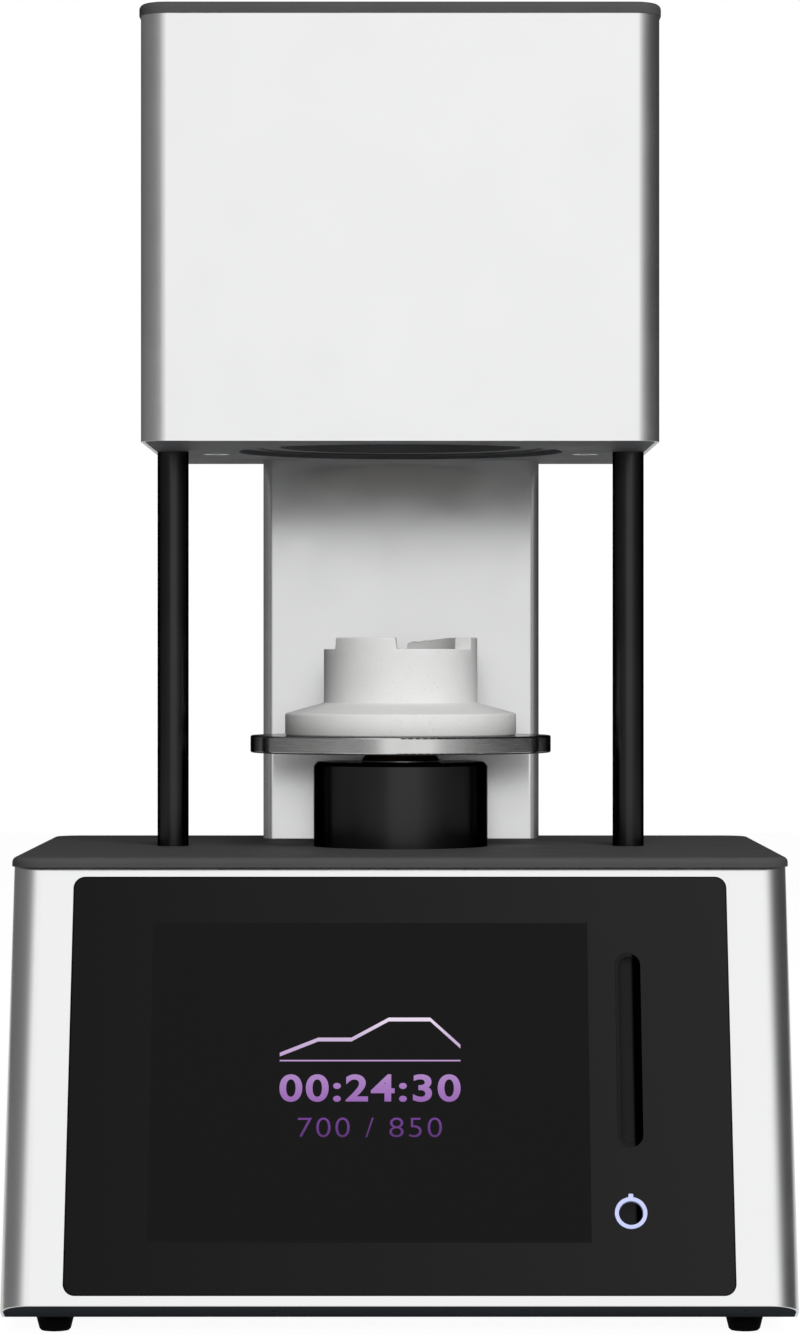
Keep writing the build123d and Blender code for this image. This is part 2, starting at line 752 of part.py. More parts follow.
# Merlons of the socle's rim, as (start, end) degrees from the front towards +X
merlons = [(-57.5, -2.8), (64.6, 174.5), (186.0, 236.0)]
with BuildPart() as firing_socle:
    turned(
        [
            (0, plate_top_z),
            (flange_radius - 0.8, plate_top_z),
            (flange_radius, plate_top_z + 0.8),
            (flange_radius, flange_top_z - 1.0),
            (flange_radius - 1.2, flange_top_z),
            (ring_radius + 1.2, ring_low_z),
            (ring_radius, ring_low_z + 0.6),
            (ring_radius, notch_floor_z),
            (seat_radius, notch_floor_z),
            (seat_radius, ring_top_z - seat_depth),
            (0, ring_top_z - seat_depth),
        ]
    )
    for start, end in merlons:
        with BuildSketch(level(notch_floor_z)):
            with BuildLine():
                first = start - 90
                sweep_angle = end - start
                outer_arc = CenterArc((0, 0), ring_radius, first, sweep_angle)
                inner_arc = CenterArc((0, 0), seat_radius, first, sweep_angle)
                Line(outer_arc @ 0, inner_arc @ 0)
                Line(outer_arc @ 1, inner_arc @ 1)
            make_face()
        extrude(amount=ring_top_z - notch_floor_z)
    ring(level(plate_top_z), spigot_rise + 1, spigot_radius + seam, mode=Mode.SUBTRACT)

# ---------------------------------------------------------------- columns

column_radius = 8.1
with BuildPart() as front_columns:
    for x, y in column_points:
        ring(level(lid_top_z, x), tower_base_z - lid_top_z, column_radius)
        ring(level(lid_top_z, x), 16, 3.0 + screw_gap, mode=Mode.SUBTRACT)
        ring(level(tower_base_z - 16, x), 16, 3.0 + screw_gap, mode=Mode.SUBTRACT)

under_lid = Plane(origin=(0, lift_y, casing_top_z), x_dir=(1, 0, 0), z_dir=(0, 0, -1))
lower_bolts = screw_group(under_lid, column_points, 5.0, 3.0, 20, raised=6)
upper_bolts = screw_group(level(tower_floor_top_z), column_points, 5.0, 3.0, 20, raised=6)
with BuildPart() as column_bolts:
    add(lower_bolts.part)
    add(upper_bolts.part)

with BuildPart() as rear_column:
    block(
        level(lid_top_z, 0, rear_column_y),
        (rear_column_width, rear_column_depth),
        tower_base_z - lid_top_z,
        corner=column_corner,
    )
    block(
        level(lid_top_z, 0, rear_column_y),
        (rear_column_width - 6, rear_column_depth - 6),
        tower_base_z - lid_top_z,
        corner=column_corner - 3,
        mode=Mode.SUBTRACT,
    )

# ---------------------------------------------------------------- tower

floor_size = (tower_width - 2 * tower_wall - seam, tower_depth - 2 * tower_wall - seam)
floor_screw_points = [(-97.0, 28.0), (97.0, 28.0)]
underside = Plane(origin=(0, lift_y, tower_base_z), x_dir=(1, 0, 0), z_dir=(0, 0, -1))
underside_screw_points = [(x, -y) for x, y in floor_screw_points]
seal_radius = 74.0
seal_section = 1.8

with BuildPart() as tower_floor:
    block(
        level(tower_base_z, 0, tower_centre_y),
        floor_size,
        floor_thickness,
        corner=tower_corner - tower_wall - seam / 2,
    )
    ring(level(tower_base_z), recess_depth, recess_radius, mode=Mode.SUBTRACT)
    ring(level(tower_base_z), 20, mouth_radius, mode=Mode.SUBTRACT)
    ring(
        level(tower_base_z + recess_depth),
        2.9,
        seal_radius + seal_section + screw_gap,
        seal_radius - seal_section - screw_gap,
        Mode.SUBTRACT,
    )
    for point in column_points:
        ring(level(tower_base_z, point[0]), 20, 3.0 + screw_gap, mode=Mode.SUBTRACT)
    block(level(tower_base_z, 0, rear_column_y), duct_size, 20, corner=4, mode=Mode.SUBTRACT)
    sink_holes(underside, underside_screw_points, 6.8, 3.0, 20)

floor_screws = screw_group(underside, underside_screw_points, 6.8, 3.0, 16)

with BuildPart() as chamber_seal:
    seal_z = tower_base_z + recess_depth + 1.0
    with Locations(level(seal_z)):
        Torus(seal_radius, seal_section)

with BuildPart() as tower_casing:
    block(
        level(tower_base_z, 0, tower_centre_y),
        (tower_width, tower_depth),
        tower_casing_top_z - tower_base_z,
        corner=tower_corner,
    )
    block(
        level(tower_base_z, 0, tower_centre_y),
        (tower_width - 2 * tower_wall, tower_depth - 2 * tower_wall),
        tower_casing_top_z - tower_base_z,
        corner=tower_corner - tower_wall,
        mode=Mode.SUBTRACT,
    )
    vent_plane = Plane(
        origin=(0, tower_centre_y + tower_depth / 2, 590), x_dir=(-1, 0, 0), z_dir=(0, 1, 0)
    )
    with BuildSketch(vent_plane):
        with GridLocations(9, 0, 17, 1):
            SlotOverall(40, 3, rotation=90)
    extrude(amount=-5, mode=Mode.SUBTRACT)

with BuildPart() as tower_lid:
    lid_size = (tower_width + 2 * tower_lid_overhang, tower_depth + 2 * tower_lid_overhang)
    block(
        level(tower_casing_top_z, 0, tower_centre_y),
        lid_size,
        tower_top_z - tower_casing_top_z,
        corner=tower_corner + tower_lid_overhang,
    )
    fillet(tower_lid.faces().sort_by(Axis.Z)[-1].edges(), lid_edge_radius)
    block(
        level(tower_casing_top_z - 5, 0, tower_centre_y),
        floor_size,
        5,
        corner=tower_corner - tower_wall - seam / 2,
    )
    block(
        level(tower_casing_top_z - 5, 0, tower_centre_y),
        (floor_size[0] - 6, floor_size[1] - 6),
        5,
        corner=tower_corner - tower_wall - 3,
        mode=Mode.SUBTRACT,
    )

# ---------------------------------------------------------------- firing chamber

thermocouple_depth = 36.0
thermocouple_y = lift_y - thermocouple_depth

with BuildPart() as chamber_shell:
    shell_low = tower_floor_top_z
    turned(
        [
            (shell_radius - 1.2, shell_low),
            (shell_radius, shell_low),
            (shell_radius, shell_top_z),
            (9.5, shell_top_z),
            (9.5, shell_top_z - 1.2),
            (shell_radius - 1.2, shell_top_z - 1.2),
        ]
    )
    ring(level(shell_top_z - 3, 0, thermocouple_y), 10, 3, mode=Mode.SUBTRACT)

insulation_radius = shell_radius - 1.5
groove_radius = 52.0
with BuildPart() as side_insulation:
    turned(
        [
            (mouth_radius, tower_floor_top_z),
            (insulation_radius, tower_floor_top_z),
            (insulation_radius, ceiling_z - 0.1),
            (groove_radius, ceiling_z - 0.1),
            (groove_radius, ledge_z + 4),
            (chamber_radius, ledge_z + 4),
            (chamber_radius, ledge_z),
            (mouth_radius, ledge_z),
        ]
    )

with BuildPart() as top_insulation:
    ring(level(ceiling_z), shell_top_z - 1.4 - ceiling_z, insulation_radius, 9.5)
    ring(level(ceiling_z, 0, thermocouple_y), 40, 2.3, mode=Mode.SUBTRACT)

with BuildPart() as quartz_tube:
    ring(level(ledge_z + 4), ceiling_z - ledge_z - 4.2, 47.6, chamber_radius)

coil_wire = 1.4
coil_pitch = 9.0
coil_height = 72.0
with BuildPart() as heating_coil:
    with BuildLine(level(ledge_z + 8)):
        winding = Helix(coil_pitch, coil_height, 49.7)
    with BuildSketch(Plane(origin=winding @ 0, z_dir=winding % 0)):
        Circle(coil_wire)
    sweep(is_frenet=True)

with BuildPart() as thermocouple:
    ring(level(526, 0, thermocouple_y), 50, 2.0)
    block(level(press_plate_z + 5, 0, thermocouple_y), (18, 14), 12, corner=2)

# ---------------------------------------------------------------- press drive

post_points = [(x, y) for x in (-112.0, 112.0) for y in (-47.0, 47.0)]
press_screw_radius = 4.0
guide_radius = 5.0
plunger_radius = 8.0
with BuildPart() as press_frame:
    block(level(press_plate_z), (240, 112), 5, corner=6)
    ring(level(press_plate_z), 5, 12 + screw_gap, mode=Mode.SUBTRACT)
    ring(level(press_plate_z, press_offset), 5, 11 + screw_gap, mode=Mode.SUBTRACT)
    ring(level(press_plate_z, -press_offset), 5, guide_radius, mode=Mode.SUBTRACT)
    ring(level(press_plate_z, 0, thermocouple_y), 5, 3, mode=Mode.SUBTRACT)
    with BuildSketch(level(tower_floor_top_z)):
        with Locations(*post_points):
            Circle(5)
    extrude(amount=press_plate_z - tower_floor_top_z)

with BuildPart() as press_motor:
    block(level(press_plate_z - 36, press_offset), (35.2, 35.2), 36, corner=3)
    ring(level(press_plate_z, press_offset), 2, 11)
    ring(level(press_plate_z - 16, press_offset), 20, 2.5 + running, mode=Mode.SUBTRACT)

with BuildPart() as press_guide_rod:
    ring(level(press_plate_z, -press_offset), 66, guide_radius)

with BuildPart() as plunger_bush:
    ring(level(press_plate_z - 1.2), 6.2, 12, plunger_radius + running)
    ring(level(press_plate_z + 5), 2.5, 17, plunger_radius + running)

crosshead_z = 622.5
with BuildPart() as press_crosshead:
    block(level(crosshead_z), (2 * press_offset, 22), 10)
    ring(level(crosshead_z, -press_offset), 10, 12)
    ring(level(crosshead_z, press_offset), 10, 12)
    ring(level(crosshead_z), 10, 15)
    ring(level(crosshead_z, -press_offset), 10, guide_radius + running, mode=Mode.SUBTRACT)
    ring(level(crosshead_z, press_offset), 10, press_screw_radius + running, mode=Mode.SUBTRACT)
    ring(level(crosshead_z), 7, plunger_radius + running, mode=Mode.SUBTRACT)

with BuildPart() as press_plunger:
    ring(level(ceiling_z + 1), crosshead_z + 7 - ceiling_z - 1, plunger_radius)
    chamfer(press_plunger.edges().sort_by(Axis.Z)[0], 1.0)

with BuildPart() as press_screw:
    ring(level(press_plate_z - 14, press_offset), 18, 2.5)
    ring(level(press_plate_z + 4, press_offset), 62, press_screw_radius)

# ---------------------------------------------------------------- files

pieces = {
    "base_tray": base_tray,
    "tray_screws": tray_screws,
    "rubber_feet": rubber_feet,
    "base_casing": base_casing,
    "base_lid": base_lid,
    "front_glass": front_glass,
    "front_frame": front_frame,
    "display_module": display_module,
    "touch_slider": touch_slider,
    "power_ring": power_ring,
    "power_button": power_button,
    "button_board": button_board,
    "controller_board": controller_board,
    "rear_panel": rear_panel,
    "mains_inlet": mains_inlet,
    "fuse_drawer": fuse_drawer,
    "switch_frame": switch_frame,
    "switch_rocker": switch_rocker,
    "data_sockets": data_sockets,
    "vacuum_nipple": vacuum_nipple,
    "vacuum_valve": vacuum_valve,
    "vacuum_pipe": vacuum_pipe,
    "fan_frame": fan_frame,
    "fan_rotor": fan_rotor,
    "fan_guard": fan_guard,
    "rear_screws": rear_screws,
    "power_supply": power_supply,
    "lift_motor": lift_motor,
    "motor_bracket": motor_bracket,
    "screw_bearing": screw_bearing,
    "lead_screw": lead_screw,
    "guide_bush": guide_bush,
    "lift_collar": lift_collar,
    "lift_rod": lift_rod,
    "lift_nut": lift_nut,
    "rod_flange": rod_flange,
    "table_plate": table_plate,
    "table_screws": table_screws,
    "firing_socle": firing_socle,
    "front_columns": front_columns,
    "column_bolts": column_bolts,
    "rear_column": rear_column,
    "tower_floor": tower_floor,
    "floor_screws": floor_screws,
    "chamber_seal": chamber_seal,
    "tower_casing": tower_casing,
    "tower_lid": tower_lid,
    "chamber_shell": chamber_shell,
    "side_insulation": side_insulation,
    "top_insulation": top_insulation,
    "quartz_tube": quartz_tube,
    "heating_coil": heating_coil,
    "thermocouple": thermocouple,
    "press_frame": press_frame,
    "press_motor": press_motor,
    "press_guide_rod": press_guide_rod,
    "plunger_bush": plunger_bush,
    "press_crosshead": press_crosshead,
    "press_plunger": press_plunger,
    "press_screw": press_screw,
}

for name, piece in pieces.items():
    piece.part.label = name
    export_step(piece.part, f"parts/{name}.step")
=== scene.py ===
# %% [markdown]
# # A press furnace for a dental laboratory
# The furnace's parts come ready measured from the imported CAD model. This script gives each of
# them its finish, adds the pieces that are better made as meshes (the worn ceramic socle, the
# gasket round the glass, the wire guard of the fan, the figures and the drawn line on the
# display), and sets up a plain studio. Everything is in metres, +Z up, the front towards -Y.

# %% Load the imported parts
import json
import math

import bpy
import numpy as np
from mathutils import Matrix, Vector


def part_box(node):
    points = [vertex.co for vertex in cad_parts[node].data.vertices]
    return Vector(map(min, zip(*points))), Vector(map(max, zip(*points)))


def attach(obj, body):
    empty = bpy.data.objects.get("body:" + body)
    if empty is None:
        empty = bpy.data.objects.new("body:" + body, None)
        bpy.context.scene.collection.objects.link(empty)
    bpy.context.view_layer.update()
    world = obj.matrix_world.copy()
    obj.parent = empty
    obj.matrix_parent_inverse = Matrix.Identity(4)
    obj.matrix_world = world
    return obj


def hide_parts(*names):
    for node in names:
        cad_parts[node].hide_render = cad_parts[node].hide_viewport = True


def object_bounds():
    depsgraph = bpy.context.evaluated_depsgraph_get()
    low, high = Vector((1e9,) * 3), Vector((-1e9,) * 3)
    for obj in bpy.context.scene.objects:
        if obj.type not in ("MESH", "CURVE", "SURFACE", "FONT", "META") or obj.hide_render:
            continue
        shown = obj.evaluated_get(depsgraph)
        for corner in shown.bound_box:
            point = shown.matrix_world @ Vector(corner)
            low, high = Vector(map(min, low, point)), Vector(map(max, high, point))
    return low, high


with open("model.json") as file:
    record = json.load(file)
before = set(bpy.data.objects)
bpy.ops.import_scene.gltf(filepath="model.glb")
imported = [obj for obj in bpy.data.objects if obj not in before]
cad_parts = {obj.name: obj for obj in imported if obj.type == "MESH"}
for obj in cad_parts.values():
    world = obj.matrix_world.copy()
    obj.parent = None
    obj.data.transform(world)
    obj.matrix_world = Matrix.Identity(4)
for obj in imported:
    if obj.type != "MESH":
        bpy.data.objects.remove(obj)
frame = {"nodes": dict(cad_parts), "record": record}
cad_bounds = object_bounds()
nodes = frame["nodes"]
print("parts", len(nodes), "box", [round(v, 4) for v in (*cad_bounds[0], *cad_bounds[1])])

# %% [markdown]
# ## Places taken from the frame
# The slanted front carries the glass, the slider and the power key. Its foot is the furnace's
# foremost edge, and it rises 203.6 mm over a run of 75.4 mm. A small set of unit vectors lets any
# piece be placed on it as on a drawing: so far to the right, so far up the slope, so far out.

# %% Axes of the slanted front and of the lift
MM = 0.001
MICRON = 0.001 * MM
FOOT_HEIGHT = 17.55 * MM
face_rise, face_run = 203.55, 75.4
face_length = math.hypot(face_rise, face_run)
lean_sin, lean_cos = face_run / face_length, face_rise / face_length
face_foot = np.array([0.0, cad_bounds[0][1], FOOT_HEIGHT])
face_right = np.array([1.0, 0.0, 0.0])
face_up = np.array([0.0, lean_sin, lean_cos])
face_out = np.array([0.0, -lean_cos, lean_sin])
plate_low, plate_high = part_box("table_plate")
lift_axis_y = (plate_low.y + plate_high.y) / 2
table_top = plate_high.z
print("lift axis at y", round(lift_axis_y, 5), "table top at z", round(table_top, 4))


def on_face(right, up, out=0.0):
    """Point on the slanted front: foot + right * r + up the slope * u + outwards * o."""
    right, up, out = np.broadcast_arrays(right, up, out)
    return (
        face_foot
        + right[..., None] * face_right
        + up[..., None] * face_up
        + out[..., None] * face_out
    )


# %% [markdown]
# ## The camera
# A level camera a little over two metres in front of the glass, at the height of the socle.
# A long lens keeps the perspective flat, and a slight shift frames the furnace without tilting
# the camera, so upright edges stay upright.

# %% Camera
VIEW_HEIGHT = 0.3225
VIEW_SIDE = 0.0054
VIEW_DISTANCE = 2.101
FRAME_PIXELS = (800, 1334)
LENS_PIXELS = 4450.0
SHIFT_PIXELS = (-11.0, -7.0)
SENSOR = 36.0

camera_data = bpy.data.cameras.new("studio_camera")
camera_data.sensor_width = SENSOR
camera_data.sensor_fit = "AUTO"
camera_data.lens = LENS_PIXELS / FRAME_PIXELS[1] * SENSOR
camera_data.shift_x = SHIFT_PIXELS[0] / FRAME_PIXELS[1]
camera_data.shift_y = SHIFT_PIXELS[1] / FRAME_PIXELS[1]
camera_data.clip_end = 100.0
camera = bpy.data.objects.new("studio_camera", camera_data)
camera.location = (VIEW_SIDE, cad_bounds[0][1] - VIEW_DISTANCE, VIEW_HEIGHT)
camera.rotation_euler = (math.pi / 2, 0.0, 0.0)
bpy.context.scene.collection.objects.link(camera)
bpy.context.scene.camera = camera
bpy.context.scene.view_settings.view_transform = "Standard"
print("lens", round(camera_data.lens, 2), "mm")

# %% [markdown]
# ## Small helpers for node trees
# A material is a tree of nodes. `add_node` makes one node, sets its options and feeds its
# inputs, either with numbers or with another node's output. The other helpers are a node or
# two with a plain name, such as a mix of two colours or a cloudy pattern. They keep each finish
# below down to the lines that make it different.

# %% Node helpers


def add_node(tree, kind, feeds=None, **options):
    """One node: options are its settings, feeds its inputs by name or number."""
    made = tree.nodes.new(kind)
    for key, value in options.items():
        setattr(made, key, value)
    for key, value in (feeds or {}).items():
        if isinstance(value, bpy.types.NodeSocket):
            tree.links.new(value, made.inputs[key])
        else:
            made.inputs[key].default_value = value
    return made


def blank_material(name):
    """A material with a Principled shader joined to its output."""
    material = bpy.data.materials.new(name)
    material.use_nodes = True
    tree = material.node_tree
    tree.nodes.clear()
    shader = add_node(tree, "ShaderNodeBsdfPrincipled")
    output = add_node(tree, "ShaderNodeOutputMaterial")
    tree.links.new(shader.outputs["BSDF"], output.inputs["Surface"])
    return material, tree, shader


def math_node(tree, kind, first, second=0.0):
    """Arithmetic on two values."""
    return add_node(tree, "ShaderNodeMath", {0: first, 1: second}, operation=kind).outputs[0]


def noise(tree, point, scale, detail=3.0):
    """Cloudy noise, 0.5 on average, with scale clouds to a metre and detail finer layers."""
    return add_node(
        tree,
        "ShaderNodeTexNoise",
        {"Vector": point, "Scale": scale, "Detail": detail, "Roughness": 0.55},
    ).outputs["Fac"]


def spread(tree, value, low, high, start=0.3, end=0.7):
    """Maps start..end onto low..high, where 0.3..0.7 is the middle range of a pattern."""
    return add_node(
        tree,
        "ShaderNodeMapRange",
        {"Value": value, "From Min": start, "From Max": end, "To Min": low, "To Max": high},
    ).outputs["Result"]


def bump(tree, height, distance, under=None):
    """Fine relief: height in parts of distance, in metres, on top of the relief under it."""
    feeds = {"Height": height, "Distance": distance, "Strength": 1.0}
    if under is not None:
        feeds["Normal"] = under
    return add_node(tree, "ShaderNodeBump", feeds).outputs["Normal"]


def mix_colour(tree, factor, low, high):
    """Colour between low and high: low where factor is 0, high where it is 1."""
    feeds = {"Factor": factor}
    for end, colour in (("A", low), ("B", high)):
        feeds[end] = (*colour, 1.0) if isinstance(colour, tuple) else colour
    return add_node(tree, "ShaderNodeMix", feeds, data_type="RGBA").outputs["Result"]


def tint(tree, value, colour, change):
    """Colour that varies a little with a pattern: colour * (1 - change) to (1 + change)."""
    dark = tuple(c * (1 - change) for c in colour)
    light = tuple(min(1.0, c * (1 + change)) for c in colour)
    return mix_colour(tree, value, dark, light)


def colour_ramp(tree, value, stops):
    """Colour by value, in straight lines between stops (position, colour) from 0 to 1."""
    ramp = add_node(tree, "ShaderNodeValToRGB", {"Fac": value})
    marks = ramp.color_ramp.elements
    marks[0].position, marks[1].position = 0.0, 1.0
    for position, _ in stops[1:-1]:
        marks.new(position)
    for mark, (_, colour) in zip(sorted(marks, key=lambda m: m.position), stops):
        mark.color = (*colour, 1.0)
    return ramp.outputs["Color"]


print("node helpers ready")

# %% [markdown]
# ## Where a point of a surface lies
# Patterns are read at a point in object coordinates, so they stay on a piece when it moves.
# Some need a single figure of that place: its height, its distance to the right, or how far up
# the slanted front it lies. The last is a dot product with the unit vector up the slope, which
# gives the length of a vector along it, less the same product for the foot of the front.

# %% Place helpers


def object_point(tree, scale=(1.0, 1.0, 1.0)):
    """Object coordinates, stretched by scale, for a pattern that stays on the piece."""
    place = add_node(tree, "ShaderNodeTexCoord")
    return add_node(
        tree, "ShaderNodeMapping", {"Vector": place.outputs["Object"], "Scale": scale}
    ).outputs["Vector"]


def axis_of(tree, point, axis):
    """One coordinate of a point: X to the right, Y to the back, Z up."""
    return add_node(tree, "ShaderNodeSeparateXYZ", {"Vector": point}).outputs[axis]


def up_the_slope(tree, point):
    """Distance up the slanted front: point . face_up - face_foot . face_up."""
    along = add_node(
        tree, "ShaderNodeVectorMath", {0: point, 1: tuple(face_up)}, operation="DOT_PRODUCT"
    ).outputs["Value"]
    return math_node(tree, "SUBTRACT", along, float(face_foot @ face_up))


print("place helpers ready")

# %% [markdown]
# ## A finish for coated, moulded and machined surfaces
# Most finishes differ in the same few things: colour, how metallic and how rough they are, the
# size of their grain, and how the grain runs. One function makes them all. A cloudy pattern
# centimetres wide moves colour and roughness a little, as handling and light wear do, and a
# fine grain gives the relief. A grain stretched along an axis reads as brushing.

# %% Finish
ROUGH_SPAN = 0.12


def finish(
    name,
    colour,
    roughness,
    grain,
    relief,
    metallic=0.0,
    along=(1.0, 1.0, 1.0),
    wear=0.04,
    specular=0.5,
    edge=1.0,
    coat=0.0,
):
    """Cloud for colour and roughness, grain (spots to a metre) for a relief in microns."""
    material, tree, shader = blank_material(name)
    plain = object_point(tree)
    cloud = noise(tree, plain, scale=28.0, detail=5.0)
    fine = noise(tree, object_point(tree, along), scale=grain, detail=2.0)
    mottle = tint(tree, spread(tree, cloud, 0.0, 1.0), colour, wear)
    tree.links.new(mottle, shader.inputs["Base Color"])
    rough_low, rough_high = roughness * (1 - ROUGH_SPAN), min(1.0, roughness * (1 + ROUGH_SPAN))
    tree.links.new(spread(tree, cloud, rough_low, rough_high), shader.inputs["Roughness"])
    tree.links.new(bump(tree, fine, relief * MICRON), shader.inputs["Normal"])
    shader.inputs["Metallic"].default_value = metallic
    shader.inputs["Specular IOR Level"].default_value = specular
    shader.inputs["Specular Tint"].default_value = (edge, edge, edge, 1.0)
    shader.inputs["Coat Weight"].default_value = coat
    shader.inputs["Coat Roughness"].default_value = 0.25
    return material


FINISHES = {
    "satin_silver": dict(
        colour=(0.905, 0.907, 0.912), metallic=1.0, roughness=0.24, grain=2600.0, relief=4.0,
        wear=0.008,
    ),
    "dark_lid": dict(
        colour=(0.066, 0.065, 0.066), roughness=0.6, grain=1900.0, relief=30.0, specular=0.12,
        edge=0.2,
    ),
    "tray_grey": dict(
        colour=(0.11, 0.124, 0.142), roughness=0.6, grain=1500.0, relief=20.0, specular=0.0,
    ),
    "black_plastic": dict(
        colour=(0.012, 0.012, 0.013), roughness=0.42, grain=1300.0, relief=40.0, specular=0.25,
    ),
    "display_panel": dict(colour=(0.012, 0.012, 0.014), roughness=0.2, grain=900.0, relief=10.0),
    "circuit_green": dict(colour=(0.02, 0.15, 0.065), roughness=0.35, grain=500.0, relief=80.0),
    "rubber_black": dict(
        colour=(0.004, 0.004, 0.004), roughness=0.8, grain=1100.0, relief=60.0, specular=0.03,
    ),
    "seal_rubber": dict(colour=(0.03, 0.029, 0.028), roughness=0.6, grain=1200.0, relief=50.0),
    "column_black": dict(
        colour=(0.043, 0.042, 0.042), metallic=1.0, roughness=0.2, grain=2200.0, relief=10.0,
        wear=0.06, edge=0.0,
    ),
    "bright_steel": dict(
        colour=(0.60, 0.60, 0.61), metallic=1.0, roughness=0.22, grain=900.0, relief=10.0,
        along=(1.0, 1.0, 0.04),
    ),
    "brass_parts": dict(
        colour=(0.40, 0.27, 0.12), metallic=1.0, roughness=0.38, grain=1000.0, relief=10.0,
        along=(0.2, 0.2, 1.0),
    ),
    "zinc_sheet": dict(
        colour=(0.56, 0.57, 0.59), metallic=1.0, roughness=0.34, grain=700.0, relief=20.0,
        along=(0.05, 1.0, 1.0),
    ),
    "tower_floor_grey": dict(
        colour=(0.17, 0.175, 0.185), roughness=0.55, grain=900.0, relief=40.0, wear=0.14,
        specular=0.2, edge=0.3,
    ),
    "column_silver": dict(
        colour=(0.745, 0.747, 0.751), metallic=1.0, roughness=0.22, grain=2000.0, relief=6.0,
        along=(1.0, 1.0, 0.05), wear=0.01,
    ),
    "motor_black": dict(colour=(0.02, 0.02, 0.022), roughness=0.45, grain=900.0, relief=50.0),
    "pipe_plastic": dict(colour=(0.45, 0.45, 0.45), roughness=0.45, grain=900.0, relief=20.0),
    "fibre_insulation": dict(
        colour=(0.80, 0.78, 0.73), roughness=0.95, grain=420.0, relief=400.0, wear=0.06,
    ),
    "quartz": dict(colour=(0.80, 0.81, 0.82), roughness=0.35, grain=600.0, relief=80.0, coat=0.4),
    "heater_wire": dict(
        colour=(0.22, 0.18, 0.15), metallic=0.9, roughness=0.5, grain=1500.0, relief=40.0,
    ),
    "plunger_ceramic": dict(colour=(0.80, 0.78, 0.72), roughness=0.5, grain=900.0, relief=30.0),
}  # fmt: skip
finishes = {name: finish(name, **numbers) for name, numbers in FINISHES.items()}
print("finishes", len(finishes))

# %% [markdown]
# ## Turned steel for the table
# The table's edge was turned on a lathe, so its grain runs round it in fine level lines. A
# pattern that changes fast with height and hardly at all around the plate gives those lines.
# It serves twice, as a fine relief and as a change of roughness, so a highlight spreads across
# the lines.

# %% Turned steel


def turned_steel(name, colour, roughness):
    """Metal with lathe lines: noise at (0.02 x, 0.02 y, z), so fast in height alone."""
    material, tree, shader = blank_material(name)
    lines = noise(tree, object_point(tree, (0.02, 0.02, 1.0)), scale=5200.0, detail=2.0)
    cloud = noise(tree, object_point(tree), scale=40.0, detail=4.0)
    tree.links.new(
        tint(tree, spread(tree, cloud, 0.0, 1.0), colour, 0.05), shader.inputs["Base Color"]
    )
    tree.links.new(
        spread(tree, lines, roughness * 0.8, roughness * 1.25), shader.inputs["Roughness"]
    )
    tree.links.new(bump(tree, lines, 6 * MICRON), shader.inputs["Normal"])
    shader.inputs["Metallic"].default_value = 1.0
    shader.inputs["Specular Tint"].default_value = (0.0, 0.0, 0.0, 1.0)
    return material


TABLE_STEEL, TABLE_ROUGHNESS = (0.66, 0.655, 0.65), 0.12
finishes["table_steel"] = turned_steel("table_steel", TABLE_STEEL, TABLE_ROUGHNESS)
print("turned steel, roughness about", TABLE_ROUGHNESS)

# %% [markdown]
# ## Black glass with a display behind it
# The panel is glass with a black print on its back. Where the display lies the print is left out,
# and an unlit display shows a shade darker than the print, with a crisp edge. The rectangle is
# worked out from the place on the slanted front: the distance to the right and up the slope,
# each compared with half the display's size. A painted reflection lies over the print: its colour
# lightens evenly to the right, in place of the broad soft reflection that such a panel carries.

# %% Black glass
SCREEN_CENTRE = (-14.4 * MM, 109.5 * MM)
SCREEN_SIZE = (211.2 * MM, 158.4 * MM)
GLASS_CENTRE = (0.0, 108.5 * MM)
GLASS_SIZE = (318.2 * MM, 207.0 * MM)
GLASS_CORNER = 5.5 * MM
SCREEN_EDGE = 0.2 * MM
# Colours of the print at the left and right end: the change between them is a painted reflection.
PRINT_AND_PAINTED_REFLECTION_LEFT, PRINT_AND_PAINTED_REFLECTION_RIGHT = (0.0022, 0.0022, 0.0022), (0.0105, 0.0105, 0.0107)
PAINTED_REFLECTION_REACH = 160.0 * MM
UNLIT_DISPLAY = (0.0016, 0.0016, 0.0018)


def inside_band(tree, value, middle, half_width, softness):
    """1 where value is nearer to middle than half_width, fading to 0 over softness."""
    gap = math_node(tree, "ABSOLUTE", math_node(tree, "SUBTRACT", value, middle))
    return spread(tree, gap, 1.0, 0.0, half_width - softness, half_width + softness)


def black_glass():
    """Gloss black with a painted reflection, a darker rectangle for the display, and faint smears.
    """
    material, tree, shader = blank_material("black_glass")
    point = object_point(tree)
    right, up = axis_of(tree, point, "X"), up_the_slope(tree, point)
    across = inside_band(tree, right, SCREEN_CENTRE[0], SCREEN_SIZE[0] / 2, SCREEN_EDGE)
    over = inside_band(tree, up, SCREEN_CENTRE[1], SCREEN_SIZE[1] / 2, SCREEN_EDGE)
    screen = math_node(tree, "MULTIPLY", across, over)
    # Painted reflection: the print's colour lightens evenly towards the right.
    painted_reflection_rightwards = spread(tree, right, 0.0, 1.0, -PAINTED_REFLECTION_REACH, PAINTED_REFLECTION_REACH)
    print_and_painted_reflection = mix_colour(tree, painted_reflection_rightwards, PRINT_AND_PAINTED_REFLECTION_LEFT, PRINT_AND_PAINTED_REFLECTION_RIGHT)
    tree.links.new(
        mix_colour(tree, screen, print_and_painted_reflection, UNLIT_DISPLAY), shader.inputs["Base Color"]
    )
    smear = noise(tree, object_point(tree, (1.0, 0.4, 0.4)), scale=55.0, detail=6.0)
    tree.links.new(spread(tree, smear, 0.09, 0.15), shader.inputs["Roughness"])
    ripple = noise(tree, point, scale=1400.0, detail=1.0)
    tree.links.new(bump(tree, ripple, 2 * MICRON), shader.inputs["Normal"])
    shader.inputs["Specular IOR Level"].default_value = 0.12
    return material


finishes["black_glass"] = black_glass()
print("display", round(SCREEN_SIZE[0] / SCREEN_SIZE[1], 3), "times as wide as it is high")
